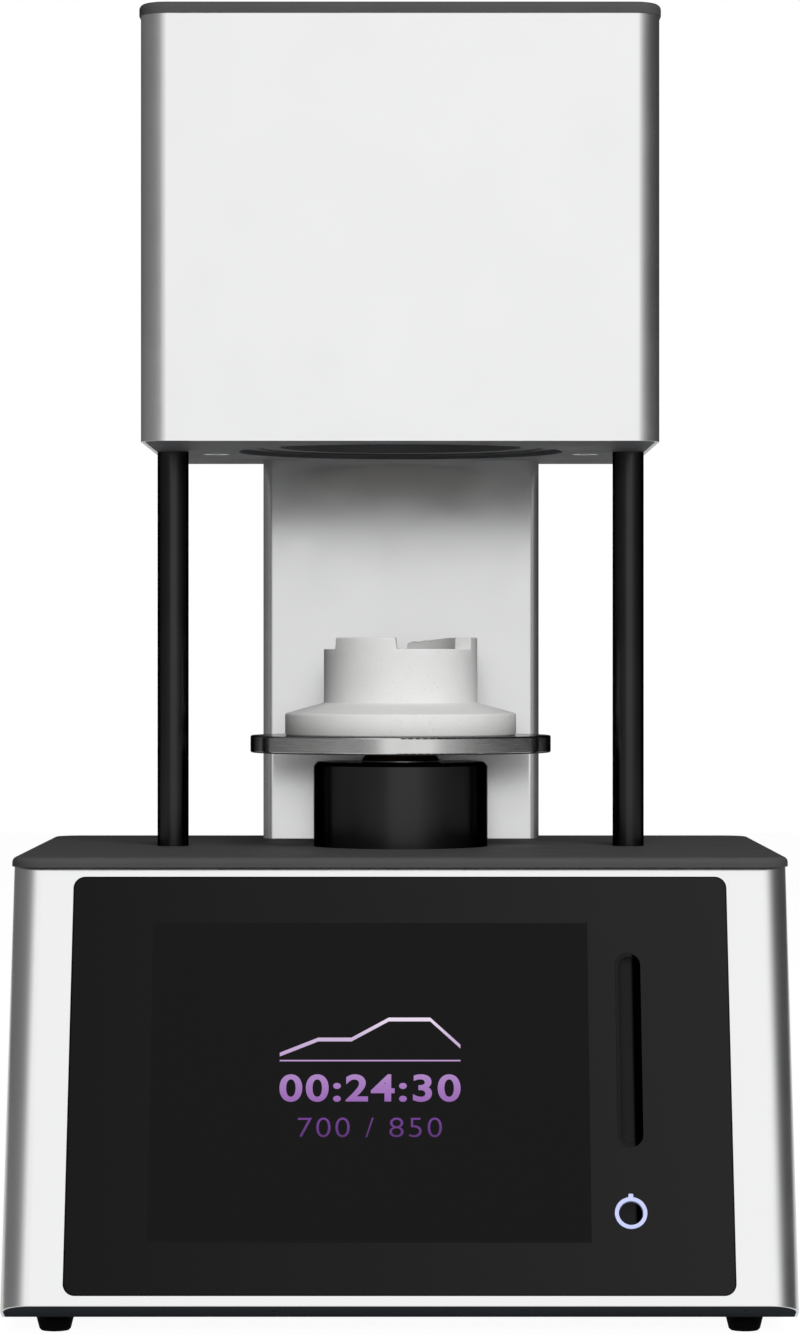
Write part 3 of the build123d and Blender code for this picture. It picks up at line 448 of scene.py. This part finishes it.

# %% [markdown]
# ## Slider and power button
# Both are moulded black pieces set into the glass. The slider's trough is too shallow and too
# black to show by light alone, so its shade is painted into the colour: the colour matches the
# glass on the left and turns to a deep black painted shade on the right side, over a millimetre,
# by the distance to the right of the middle plane.

# %% Keys
SHADE_STARTS, SHADE_ENDS = 111.9 * MM, 113.1 * MM
# The trough's own black, and the painted shade of its right side.
TROUGH_BLACK, PAINTED_SHADE_BLACK = (0.0135, 0.0135, 0.014), (0.0002, 0.0002, 0.0002)


def key_black_with_painted_shade():
    """Black with painted shade: deep black on the right side, with a fine moulded grain."""
    material, tree, shader = blank_material("key_black")
    point = object_point(tree)
    # Painted shade: the colour turns deep black over the right side of the trough and the key.
    painted_shade = spread(tree, axis_of(tree, point, "X"), 0.0, 1.0, SHADE_STARTS, SHADE_ENDS)
    cloud = noise(tree, point, scale=60.0, detail=4.0)
    tree.links.new(mix_colour(tree, painted_shade, TROUGH_BLACK, PAINTED_SHADE_BLACK), shader.inputs["Base Color"])
    tree.links.new(spread(tree, cloud, 0.5, 0.6), shader.inputs["Roughness"])
    grain = noise(tree, point, scale=1300.0)
    tree.links.new(bump(tree, grain, 30 * MICRON), shader.inputs["Normal"])
    shader.inputs["Specular IOR Level"].default_value = 0.01
    shader.inputs["Specular Tint"].default_value = (0.0, 0.0, 0.0, 1.0)
    return material


finishes["key_black"] = key_black_with_painted_shade()
print("flank fades over", round((SHADE_ENDS - SHADE_STARTS) / MM, 2), "mm")

# %% [markdown]
# ## The lean of the column's brushing
# The rear column mirrors what is a little above the level: the dark underside of the tower
# shows in its top, more than a flat upright face would show it. Brushing in downward strokes
# could be the cause, as it leaves fine scales that face a few degrees upwards. That is a guess,
# taken up here as a relief that falls evenly with height and so tilts the normals.

# %% Leaning scales
BRUSH_LEAN = 4.0


def lean_upwards(material, degrees):
    """Tilt the normals of upright faces: relief = -z * tan(lean), in metres."""
    tree = material.node_tree
    normal = tree.nodes["Principled BSDF"].inputs["Normal"]
    under = normal.links[0].from_socket
    height = axis_of(tree, object_point(tree), "Z")
    slope = math_node(tree, "MULTIPLY", height, -math.tan(math.radians(degrees)))
    tree.links.new(bump(tree, slope, 1.0, under=under), normal)


lean_upwards(finishes["column_silver"], BRUSH_LEAN)
print("brushing leans", BRUSH_LEAN, "degrees")

# %% [markdown]
# ## The lit ring of the power key
# A light ring is a milky plastic with a lamp behind it. It glows evenly in a pale lavender, so
# its shader has a little emission, and a cloudy pattern keeps the glow from being quite flat.

# %% Lit ring
RING_LAVENDER, RING_GLOW = (0.34, 0.37, 0.56), (0.60, 0.66, 1.0)


def lit_ring():
    """Milky plastic that glows: emission strength follows a soft cloud."""
    material, tree, shader = blank_material("lit_ring")
    cloud = noise(tree, object_point(tree), scale=300.0, detail=3.0)
    tree.links.new(tint(tree, cloud, RING_LAVENDER, 0.08), shader.inputs["Base Color"])
    shader.inputs["Emission Color"].default_value = (*RING_GLOW, 1.0)
    tree.links.new(spread(tree, cloud, 0.28, 0.32), shader.inputs["Emission Strength"])
    grain = noise(tree, object_point(tree), scale=1500.0)
    tree.links.new(bump(tree, grain, 10 * MICRON), shader.inputs["Normal"])
    shader.inputs["Roughness"].default_value = 0.35
    return material


finishes["lit_ring"] = lit_ring()
print("ring glows", RING_GLOW)

# %% [markdown]
# ## Fired ceramic
# The socle is a press ceramic with a dry matt face: almost white, faintly speckled, with fine
# pores. Pores are small dark pits from a cell pattern, kept sparse, and a soft grain lies
# between them.

# %% Fired ceramic
CERAMIC_WHITE, PORE_GREY = (0.645, 0.645, 0.64), (0.50, 0.49, 0.47)
PORE_CELLS = 420.0
PORE_FLOOR, PORE_BRIM = 0.06, 0.16


def fired_ceramic():
    """Matt white body: a pore where a cell's middle is nearer than PORE_BRIM of a cell."""
    material, tree, shader = blank_material("socle_ceramic")
    point = object_point(tree)
    cells = add_node(
        tree, "ShaderNodeTexVoronoi", {"Vector": point, "Scale": PORE_CELLS}
    ).outputs["Distance"]
    pore = spread(tree, cells, 0.0, 1.0, PORE_FLOOR, PORE_BRIM)
    grain = noise(tree, point, scale=1600.0, detail=4.0)
    cloud = noise(tree, point, scale=60.0, detail=4.0)
    body = tint(tree, spread(tree, cloud, 0.0, 1.0), CERAMIC_WHITE, 0.02)
    tree.links.new(mix_colour(tree, pore, PORE_GREY, body), shader.inputs["Base Color"])
    fine = bump(tree, grain, 50 * MICRON)
    tree.links.new(bump(tree, pore, 80 * MICRON, under=fine), shader.inputs["Normal"])
    shader.inputs["Roughness"].default_value = 0.85
    shader.inputs["Specular IOR Level"].default_value = 0.3
    return material


finishes["socle_ceramic"] = fired_ceramic()
print("pores", round(2 * PORE_BRIM / PORE_CELLS / MM, 2), "mm wide")

# %% [markdown]
# ## Dressing the parts
# Every part of the imported model names the slot of its material, and gets the finish of that
# slot. Three parts look different from the others of theirs: the wide rear column is brushed,
# and the slider and the power button are black with painted shade on their right sides.

# %% Give every CAD part the finish of its slot
for part in frame["record"]["subparts"]:
    mesh = nodes[part["node"]].data
    mesh.materials.clear()
    mesh.materials.append(finishes[part["material_slot"]])
own_finish = {
    "rear_column": "column_silver", "touch_slider": "key_black", "power_button": "key_black",
}  # fmt: skip
for node, chosen in own_finish.items():
    nodes[node].data.materials[0] = finishes[chosen]

# %% [markdown]
# ## Surfaces from grids and paths
# Every new piece below is a grid of points: rows follow one parameter, columns the other. A
# closed direction wraps round, and an end of the grid can be closed by a fan of triangles.
# `grid_faces` lists the corners of all cells at once, and `mesh_piece` hands both arrays to
# Blender.

# %% Grid helpers


def grid_faces(rows, columns, wrap_rows=False, wrap_columns=True, start=0):
    """Quads of a grid: cell (i, j) joins points i, i+1 and j, j+1, wrapping if asked."""
    row_count = rows if wrap_rows else rows - 1
    column_count = columns if wrap_columns else columns - 1
    i, j = np.meshgrid(np.arange(row_count), np.arange(column_count), indexing="ij")
    following_i, following_j = (i + 1) % rows, (j + 1) % columns
    quads = np.stack(
        [i * columns + j, i * columns + following_j,
         following_i * columns + following_j, following_i * columns + j],
        axis=-1,
    )
    return quads.reshape(-1, 4) + start


def mesh_piece(name, points, faces, material, body, smooth=60.0):
    """Object at the origin from arrays; edges sharper than smooth degrees stay crisp."""
    mesh = bpy.data.meshes.new(name)
    mesh.from_pydata(np.asarray(points).reshape(-1, 3).tolist(), [], [list(f) for f in faces])
    mesh.validate()
    mesh.materials.append(material)
    mesh.shade_smooth()
    mesh.set_sharp_from_angle(angle=math.radians(smooth))
    piece = bpy.data.objects.new(name, mesh)
    bpy.context.scene.collection.objects.link(piece)
    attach(piece, body)
    print(name, len(mesh.vertices), "points", len(mesh.polygons), "faces")
    return piece


def ease(value):
    """Smooth step from 0 to 1: 3v^2 - 2v^3, held flat outside."""
    v = np.clip(value, 0.0, 1.0)
    return v * v * (3 - 2 * v)


print("cells of a closed 3 by 4 grid:", len(grid_faces(3, 4)))

# %% [markdown]
# ## The rim of the firing socle
# The socle is cast ceramic: a flange, a cone and a hollow ring whose rim is notched, so that
# tongs can grip a muffle. Its rim is old and has crumbled at the back. A lathe shape would do
# for all but the rim, so the height of the rim is made a function of the angle: full height on
# the raised stretches, lower in the notches, shoulders about a millimetre wide between them,
# and a ragged slope on the back stretch. Angles run from the front to the right and the back.

# %% Rim of the firing socle
_, socle_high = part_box("firing_socle")
RIM_TOP = socle_high.z
NOTCH_DEPTH = 5.9 * MM
RAISED = ((-57.5, -2.8), (64.6, 174.5), (186.0, 236.0))
SHOULDER = 1.1
LOSS_FROM, LOSS_SPAN, LOSS_TO = 128.0, 46.0, 176.0
LOSS_DEPTH = 2.6
STEP_WAVES = ((0.32, 0.55, 0.0), (0.2, 1.7, 1.0))
CHIP_DEPTH, CHIP_RATES = 0.12, (4.3, 0.9)
AROUND = 720


def rim_height(degrees):
    """Rim height by angle: 1 on a raised stretch, 0 in a notch, eased over SHOULDER degrees."""
    height = np.zeros_like(degrees)
    for first, last in RAISED:
        turned = (degrees - first) % 360
        length = last - first
        rise = ease(turned / SHOULDER) * ease((length - turned) / SHOULDER)
        height = np.maximum(height, np.where(turned <= length, rise, 0.0))
    return height


def rim_loss(degrees):
    """Height lost at the back: slope * (depth + steps + chips), a wave being d * sin(r a + s)."""
    slope = np.clip((degrees - LOSS_FROM) / LOSS_SPAN, 0.0, 1.0) * (degrees < LOSS_TO)
    steps = sum(depth * np.sin(degrees * rate + start) for depth, rate, start in STEP_WAVES)
    chips = CHIP_DEPTH * np.sin(degrees * CHIP_RATES[0]) * np.sin(degrees * CHIP_RATES[1])
    return slope * (LOSS_DEPTH + steps + chips) * MM


socle_angle = np.linspace(0, 360, AROUND, endpoint=False)
lost = rim_loss(socle_angle)
rim_z = RIM_TOP - NOTCH_DEPTH + NOTCH_DEPTH * rim_height(socle_angle) - lost
print("rim loses up to", round(lost.max() / MM, 2), "mm at the back")

# %% [markdown]
# ## The body of the firing socle
# The body is turned: one profile of radius and height, carried round the lift axis. It runs up
# the outside, over the rim, and down into the seat for the muffle. The points of the rim ride
# on the height worked out above, and all others stay level. The real edges are rounded by
# wear, so each edge of the rim is a quarter circle.

# %% Body of the firing socle
FLANGE_RADIUS, RING_RADIUS, SEAT_RADIUS = 60.0 * MM, 39.85 * MM, 31.0 * MM
FLANGE_TOP, RING_LOW = table_top + 11.6 * MM, table_top + 16.4 * MM
WALL_TOP = RIM_TOP - 10.5 * MM
SEAT_FLOOR = RIM_TOP - 20.0 * MM
SEAT_FILLET, SEAT_CENTRE = 1.0 * MM, 0.4 * MM
EDGE = 0.7 * MM

quarter = np.linspace(0, np.pi / 2, 6)
edge_inwards, edge_drop = EDGE * (1 - np.cos(quarter)), EDGE * (np.sin(quarter) - 1)
outer_edge = list(zip(RING_RADIUS - edge_inwards, edge_drop))
inner_edge = list(zip(SEAT_RADIUS + edge_inwards, edge_drop))[::-1]
outside = [
    (54.0 * MM, table_top), (59.2 * MM, table_top), (FLANGE_RADIUS, table_top + 0.8 * MM),
    (FLANGE_RADIUS, FLANGE_TOP - 1.2 * MM), (FLANGE_RADIUS - 0.35 * MM, FLANGE_TOP - 0.35 * MM),
    (FLANGE_RADIUS - 1.3 * MM, FLANGE_TOP), (44.0 * MM, RING_LOW - 0.7 * MM),
    (41.2 * MM, RING_LOW), (RING_RADIUS + 0.25 * MM, RING_LOW + 0.5 * MM),
    (RING_RADIUS, RING_LOW + 1.4 * MM), (RING_RADIUS, WALL_TOP),
]  # fmt: skip
inside = [
    (SEAT_RADIUS, WALL_TOP), (SEAT_RADIUS, SEAT_FLOOR + SEAT_FILLET),
    (SEAT_RADIUS - SEAT_FILLET, SEAT_FLOOR), (SEAT_CENTRE, SEAT_FLOOR),
]  # fmt: skip


def socle_grid():
    """Profile carried round the axis: (r sin a, axis - r cos a, height) for each angle a."""
    level = np.zeros(AROUND)
    profile = [(radius, height + level) for radius, height in outside]
    profile += [(radius, rim_z + drop) for radius, drop in outer_edge + inner_edge]
    profile += [(radius, height + level) for radius, height in inside]
    radii = np.array([radius for radius, _ in profile])[:, None]
    heights = np.array([height for _, height in profile])
    turn = np.radians(socle_angle)
    return np.stack(
        [radii * np.sin(turn), lift_axis_y - radii * np.cos(turn), heights], axis=-1
    )


socle_points = socle_grid()
row_count = len(socle_points)
socle_faces = [tuple(f) for f in grid_faces(row_count, AROUND)]
socle_faces.append(tuple(range(AROUND))[::-1])
socle_faces.append(tuple((row_count - 1) * AROUND + np.arange(AROUND)))
socle = mesh_piece(
    "ceramic_socle", socle_points, socle_faces, finishes["socle_ceramic"], "lift",
    smooth=50.0,
)  # fmt: skip
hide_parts("firing_socle")

# %% [markdown]
# ## Tubes along flat paths
# The gasket and the wires of the fan guard are round cords laid along paths in a plane. Along
# such a path the direction out of the plane never changes, so each cross-section is a circle
# spanned by that direction and the sideways one, and no twist can build up.

# %% Flat tubes


def flat_tube(path, out, radius, closed, sides=12):
    """Tube round a flat path: path point + radius * (cos t * sideways + sin t * out)."""
    if closed:
        ahead = np.roll(path, -1, axis=0) - np.roll(path, 1, axis=0)
    else:
        ahead = np.gradient(path, axis=0)
    ahead /= np.linalg.norm(ahead, axis=1)[:, None]
    sideways = np.cross(ahead, out)
    turn = np.linspace(0, 2 * np.pi, sides, endpoint=False)
    circle = (
        np.cos(turn)[None, :, None] * sideways[:, None, :]
        + np.sin(turn)[None, :, None] * np.asarray(out)[None, None, :]
    )
    points = (path[:, None, :] + radius * circle).reshape(-1, 3)
    faces = [tuple(f) for f in grid_faces(len(path), sides, wrap_rows=closed)]
    if not closed:
        faces.append(tuple(range(sides))[::-1])
        faces.append(tuple((len(path) - 1) * sides + np.arange(sides)))
    return points, [f[::-1] for f in faces]


def joined(parts):
    """One set of points and faces from several, with the face numbers moved up."""
    starts = np.cumsum([0] + [len(points) for points, faces in parts[:-1]])
    points = np.concatenate([points for points, faces in parts])
    faces = [
        tuple(int(v) + int(start) for v in face)
        for (_, part_faces), start in zip(parts, starts)
        for face in part_faces
    ]
    return points, faces


print("tube helpers ready")

# %% [markdown]
# ## The gasket round the glass
# A thin black cord fills the seam between the glass and the casing, so the seam reads as one
# even dark line. Its path is a rounded rectangle: four straight runs joined by quarter circles.

# %% Glass gasket
SEAM = 0.3 * MM
GASKET_RADIUS = 0.13 * MM
GASKET_DEPTH = -0.35 * MM
GASKET_SIDES, CORNER_POINTS = 8, 14


def rounded_outline(width, height, corner):
    """Corner centres plus corner * (cos a, sin a), a running through each quarter turn."""
    angle = np.linspace(0, np.pi / 2, CORNER_POINTS)
    quarters = np.arange(4)[:, None] * (np.pi / 2) + angle[None, :]
    signs = np.array([(1, 1), (-1, 1), (-1, -1), (1, -1)])
    half = np.array([width / 2 - corner, height / 2 - corner])
    centres = (signs * half)[:, None, :]
    arcs = np.stack([np.cos(quarters), np.sin(quarters)], axis=-1) * corner
    return (centres + arcs).reshape(-1, 2)


outline = rounded_outline(GLASS_SIZE[0] + SEAM, GLASS_SIZE[1] + SEAM, GLASS_CORNER + SEAM / 2)
gasket_path = on_face(outline[:, 0], GLASS_CENTRE[1] + outline[:, 1], GASKET_DEPTH)
gasket_points, gasket_faces = flat_tube(
    gasket_path, face_out, GASKET_RADIUS, closed=True, sides=GASKET_SIDES
)
mesh_piece(
    "glass_gasket", gasket_points, gasket_faces, finishes["rubber_black"], "furnace",
)  # fmt: skip

# %% [markdown]
# ## The wire guard of the fan
# Four rings of bent wire are spot welded onto two crossing wires, and each crossing wire ends in
# an eye for a screw. A ring is a tube along a circle. A crossing wire is a tube along a path
# made of an open loop, a straight run and another open loop, in the plane of the back.

# %% Fan guard
guard_low, guard_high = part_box("fan_guard")
guard_centre = np.array([
    (guard_low.x + guard_high.x) / 2, guard_low.y, (guard_low.z + guard_high.z) / 2,
])  # fmt: skip
BACK = np.array([0.0, 1.0, 0.0])
WIRE = 0.8 * MM
RING_RADII = np.array([9.0, 15.0, 21.0, 27.0]) * MM
RING_PLANE = guard_high.y - WIRE
EYE_REACH = 25.0 * math.sqrt(2) * MM
EYE_RADIUS, EYE_SWEEP = 2.9 * MM, 155.0
RING_POINTS, EYE_POINTS, RUN_POINTS = 96, 40, 30


def guard_ring(radius):
    """Tube along a circle of that radius about the fan's axis."""
    angle = np.linspace(0, 2 * np.pi, RING_POINTS, endpoint=False)
    path = np.stack(
        [
            guard_centre[0] + radius * np.cos(angle),
            np.full_like(angle, RING_PLANE),
            guard_centre[2] + radius * np.sin(angle),
        ],
        axis=-1,
    )
    return flat_tube(path, BACK, WIRE, closed=True)


def guard_cross(slant):
    """Loop, straight run, loop along a line through the fan's axis, slant from the level."""
    angle = np.radians(np.linspace(-EYE_SWEEP, EYE_SWEEP, EYE_POINTS))
    loop_along = EYE_REACH + EYE_RADIUS * np.cos(angle)
    loop_over = EYE_RADIUS * np.sin(angle)
    run = np.linspace(-1, 1, RUN_POINTS) * (EYE_REACH - EYE_RADIUS)
    along = np.concatenate([-loop_along[::-1], run, loop_along])
    over = np.concatenate([-loop_over[::-1], 0 * run, loop_over])
    direction = np.array([math.cos(slant), 0.0, math.sin(slant)])
    across = np.array([-math.sin(slant), 0.0, math.cos(slant)])
    path = guard_centre + along[:, None] * direction + over[:, None] * across + WIRE * BACK
    return flat_tube(path, BACK, WIRE, closed=False)


guard_points, guard_faces = joined(
    [guard_ring(radius) for radius in RING_RADII]
    + [guard_cross(math.pi / 4), guard_cross(-math.pi / 4)]
)
wire_guard = mesh_piece(
    "wire_guard", guard_points, guard_faces, finishes["zinc_sheet"], "furnace"
)
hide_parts("fan_guard")

# %% [markdown]
# ## What the display shows
# A furnace of this kind shows the program's curve, the time left and the temperatures. Only
# plain figures are used. The curve is a drawn line over a thin base line: it climbs, holds,
# climbs, holds and falls. The figures are Blender text turned into a mesh, then laid on the
# glass point by point. All of it glows from pale lavender at the top to purple at the bottom,
# and a fine grain breaks the glow, as the pixels of a display do.

# %% Glow of the display
GLOW_STOPS = [
    (82.0, (0.105, 0.030, 0.170)), (91.0, (0.165, 0.045, 0.275)), (99.0, (0.310, 0.130, 0.440)),
    (113.0, (0.430, 0.240, 0.555)), (120.0, (0.520, 0.330, 0.630)), (131.0, (0.610, 0.474, 0.690)),
    (144.0, (0.900, 0.810, 0.950)),
]  # fmt: skip


def display_glow():
    """Emission whose colour climbs with the distance up the slope, in millimetres."""
    material, tree, shader = blank_material("display_glow")
    low, high = GLOW_STOPS[0][0], GLOW_STOPS[-1][0]
    climb = spread(
        tree, up_the_slope(tree, object_point(tree)), 0.0, 1.0, low * MM, high * MM
    )
    stops = [((height - low) / (high - low), colour) for height, colour in GLOW_STOPS]
    pixels = noise(tree, object_point(tree), scale=2600.0, detail=1.0)
    tree.links.new(colour_ramp(tree, climb, stops), shader.inputs["Emission Color"])
    tree.links.new(spread(tree, pixels, 0.92, 1.04), shader.inputs["Emission Strength"])
    tree.links.new(bump(tree, pixels, 2 * MICRON), shader.inputs["Normal"])
    shader.inputs["Base Color"].default_value = (0.004, 0.004, 0.005, 1.0)
    shader.inputs["Roughness"].default_value = 0.3
    shader.inputs["Specular IOR Level"].default_value = 0.1
    return material


finishes["display_glow"] = display_glow()
print("glow stops", len(GLOW_STOPS))

# %% [markdown]
# ## Figures and drawn line
# On the real display both are lit pixels under the glass, so here they are flat faces a hair
# above it. A figure's outline is scaled to the width and height it has on the display. A line
# needs two copies of its corners, half its thickness below and above.

# %% Figures and drawn line
FIGURE_MIDDLE = -14.3 * MM
FIGURE_LIFT = 0.05 * MM
FIGURE_SPACING = 1.12
PLOT_LOW = 119.5 * MM
BASE_LINE = ((-43.5, 0.0), (43.5, 0.0))
CURVE_LINE = (
    (-43.5, 3.0), (-25.0, 10.5), (-9.0, 10.5), (9.0, 20.5), (29.0, 20.5), (43.5, 7.0),
)  # fmt: skip


def figure_block(words, middle_up, width, height, weight):
    """Text as a mesh: (point - middle) / its own size * the size wanted, on the slope."""
    curve = bpy.data.curves.new("figures", "FONT")
    curve.body = words
    curve.offset = weight
    curve.space_character = FIGURE_SPACING
    holder = bpy.data.objects.new("figures", curve)
    bpy.context.scene.collection.objects.link(holder)
    bpy.context.view_layer.update()
    shaped = holder.evaluated_get(bpy.context.evaluated_depsgraph_get())
    mesh = bpy.data.meshes.new_from_object(shaped)
    flat = np.empty(len(mesh.vertices) * 3)
    mesh.vertices.foreach_get("co", flat)
    flat = flat.reshape(-1, 3)
    faces = [tuple(polygon.vertices) for polygon in mesh.polygons]
    bpy.data.objects.remove(holder)
    bpy.data.curves.remove(curve)
    bpy.data.meshes.remove(mesh)
    low, high = flat.min(axis=0), flat.max(axis=0)
    across = (flat[:, 0] - (low[0] + high[0]) / 2) / (high[0] - low[0]) * width
    over = (flat[:, 1] - (low[1] + high[1]) / 2) / (high[1] - low[1]) * height
    return on_face(FIGURE_MIDDLE + across, middle_up + over, FIGURE_LIFT), faces


def drawn_line(corners, thickness):
    """Line of the plot: quads between corners lowered and raised by half the thickness."""
    along, heights = np.array(corners).T * MM
    middle_up = PLOT_LOW + heights
    lower = on_face(FIGURE_MIDDLE + along, middle_up - thickness / 2, FIGURE_LIFT)
    upper = on_face(FIGURE_MIDDLE + along, middle_up + thickness / 2, FIGURE_LIFT)
    faces = [tuple(f) for f in grid_faces(2, len(along), wrap_columns=False)]
    return np.concatenate([lower, upper]), faces


display_points, display_faces = joined([
    drawn_line(BASE_LINE, thickness=0.7 * MM),
    drawn_line(CURVE_LINE, thickness=1.9 * MM),
    figure_block("00:24:30", 105.9 * MM, width=87.0 * MM, height=13.6 * MM, weight=0.022),
    figure_block("700 / 850", 86.5 * MM, width=69.0 * MM, height=9.6 * MM, weight=-0.012),
])  # fmt: skip
mesh_piece(
    "display_figures", display_points, display_faces, finishes["display_glow"], "furnace",
)  # fmt: skip

# %% [markdown]
# ## The studio
# Polished metal shows the room it stands in, so the room is drawn with care. It is written as a
# world whose brightness depends only on the direction: a broad white panel in front, a grey
# left side, a darker right side and a dim back. The panel is narrow at eye level and wider
# above it, so two colour ramps over the compass angle hold the levels, and the height of the
# ray chooses between them. The camera sees plain white, and matt surfaces are lit by a
# flatter copy of the same room, so that a colour renders about as it is written.

# %% World
DIFFUSE_LEAST, DIFFUSE_MOST = 0.04, 0.30
RAISED_FROM, RAISED_TO = 0.2, 0.5
WHITE = (1.0, 1.0, 1.0)
RAISED_LEVELS = [
    (-180, 0.07), (-140, 0.10), (-100, 0.15), (-72, 0.20), (-54, 0.30), (-40, 0.62),
    (-26, 1.0), (38, 1.0), (52, 0.72), (64, 0.38), (80, 0.15), (104, 0.085), (140, 0.045),
    (180, 0.07),
]  # fmt: skip
EYE_LEVELS = [
    (-180, 0.07), (-140, 0.11), (-112, 0.14), (-73, 0.165), (-57, 0.19), (-43, 0.225),
    (-29, 0.30), (-20, 0.45), (-11, 1.0), (23, 1.0), (33, 0.58), (47, 0.30), (62, 0.16),
    (79, 0.095), (97, 0.07), (140, 0.045), (180, 0.07),
]  # fmt: skip

world = bpy.data.worlds.new("studio")
world.use_nodes = True
bpy.context.scene.world = world
room = world.node_tree
room.nodes.clear()
ways = add_node(
    room,
    "ShaderNodeSeparateXYZ",
    {"Vector": add_node(room, "ShaderNodeTexCoord").outputs["Generated"]},
)
towards = math_node(room, "MULTIPLY", ways.outputs["Y"], -1.0)
compass = math_node(room, "ARCTAN2", ways.outputs["X"], towards)
around = spread(room, compass, 0.0, 1.0, -math.pi, math.pi)


def room_band(levels):
    """Brightness by compass angle: a ramp position is (degrees + 180) / 360."""
    return colour_ramp(
        room, around, [((angle + 180) / 360, (level, level, level)) for angle, level in levels]
    )


raised_band = room_band(RAISED_LEVELS)
raised = spread(room, ways.outputs["Z"], 0.0, 1.0, RAISED_FROM, RAISED_TO)
panels = mix_colour(room, raised, room_band(EYE_LEVELS), raised_band)
rays = add_node(room, "ShaderNodeLightPath")
seen = math_node(
    room, "MAXIMUM", rays.outputs["Is Camera Ray"], rays.outputs["Is Transmission Ray"]
)
even = spread(room, raised_band, DIFFUSE_LEAST, DIFFUSE_MOST, 0.0, 1.0)
mirrored = mix_colour(room, rays.outputs["Is Glossy Ray"], even, panels)
shown = mix_colour(room, seen, mirrored, WHITE)
backdrop = add_node(room, "ShaderNodeBackground", {"Color": shown, "Strength": 1.0})
add_node(room, "ShaderNodeOutputWorld", {"Surface": backdrop.outputs["Background"]})
print("room levels", len(RAISED_LEVELS), "and", len(EYE_LEVELS))

# %% [markdown]
# ## Lamps
# Two soft lamps give the shapes some modelling: a wide key from the front, a little to the
# right and above the furnace, and a nearer one high up, which reaches under the tower to the
# table. They are hidden from mirror rays, because the world already draws what the metal
# should show.

# %% Lamps


def soft_lamp(name, place, target, width, height, power):
    """Area lamp at place, width by height, turned so that it shines at target."""
    data = bpy.data.lights.new(name, "AREA")
    data.shape = "RECTANGLE"
    data.size, data.size_y = width, height
    data.energy = power
    lamp = bpy.data.objects.new(name, data)
    lamp.location = place
    lamp.rotation_euler = (Vector(target) - Vector(place)).to_track_quat("-Z", "Y").to_euler()
    lamp.visible_glossy = False
    bpy.context.scene.collection.objects.link(lamp)
    print(name, power, "W")


MIDDLE = (0.0, 0.0, 0.33)
soft_lamp("key_lamp", (0.4, -2.85, 0.95), MIDDLE, width=3.0, height=0.5, power=43.0)
soft_lamp("high_lamp", (0.4, -1.55, 1.6), MIDDLE, width=1.2, height=0.5, power=28.0)

# %% [markdown]
# ## The floor
# A pale floor carries the soft shadow under the furnace. Camera and mirror rays see it white
# where nothing shades it, as in a shop's studio, so its shader adds a steady glow for those
# rays to the lit surface, a little weaker in mirrors so that polished metal keeps its form. A
# fine speckle keeps it a real surface.

# %% Floor
FLOOR_HALF = 6.0
FLOOR_GREY = (0.22, 0.22, 0.22)
GLOW_SEEN, GLOW_MIRRORED = 0.95, 0.56
floor_mesh = bpy.data.meshes.new("studio_floor")
floor_corners = np.array([(-1, -1, 0), (1, -1, 0), (1, 1, 0), (-1, 1, 0)]) * FLOOR_HALF
floor_mesh.from_pydata(floor_corners.tolist(), [], [(0, 1, 2, 3)])
floor = bpy.data.objects.new("studio_floor", floor_mesh)
bpy.context.scene.collection.objects.link(floor)

floor_paint = bpy.data.materials.new("studio_floor")
floor_paint.use_nodes = True
paint = floor_paint.node_tree
paint.nodes.clear()
speckle = spread(paint, noise(paint, object_point(paint), scale=300.0), 0.0, 1.0)
matt = add_node(paint, "ShaderNodeBsdfDiffuse", {"Color": tint(paint, speckle, FLOOR_GREY, 0.01)})
floor_rays = add_node(paint, "ShaderNodeLightPath")
glow_level = spread(
    paint, floor_rays.outputs["Is Glossy Ray"], GLOW_SEEN, GLOW_MIRRORED, 0.0, 1.0
)
glow = add_node(paint, "ShaderNodeEmission", {"Color": (*WHITE, 1.0), "Strength": glow_level})
lit = add_node(paint, "ShaderNodeAddShader", {0: matt.outputs[0], 1: glow.outputs[0]})
floor_seen = floor_rays.outputs["Is Camera Ray"]
for kind in ("Is Glossy Ray", "Is Transmission Ray"):
    floor_seen = math_node(paint, "MAXIMUM", floor_seen, floor_rays.outputs[kind])
floor_mix = add_node(
    paint, "ShaderNodeMixShader", {0: floor_seen, 1: matt.outputs[0], 2: lit.outputs[0]}
)
add_node(paint, "ShaderNodeOutputMaterial", {"Surface": floor_mix.outputs[0]})
floor_mesh.materials.append(floor_paint)
print("floor", 2 * FLOOR_HALF, "m wide")
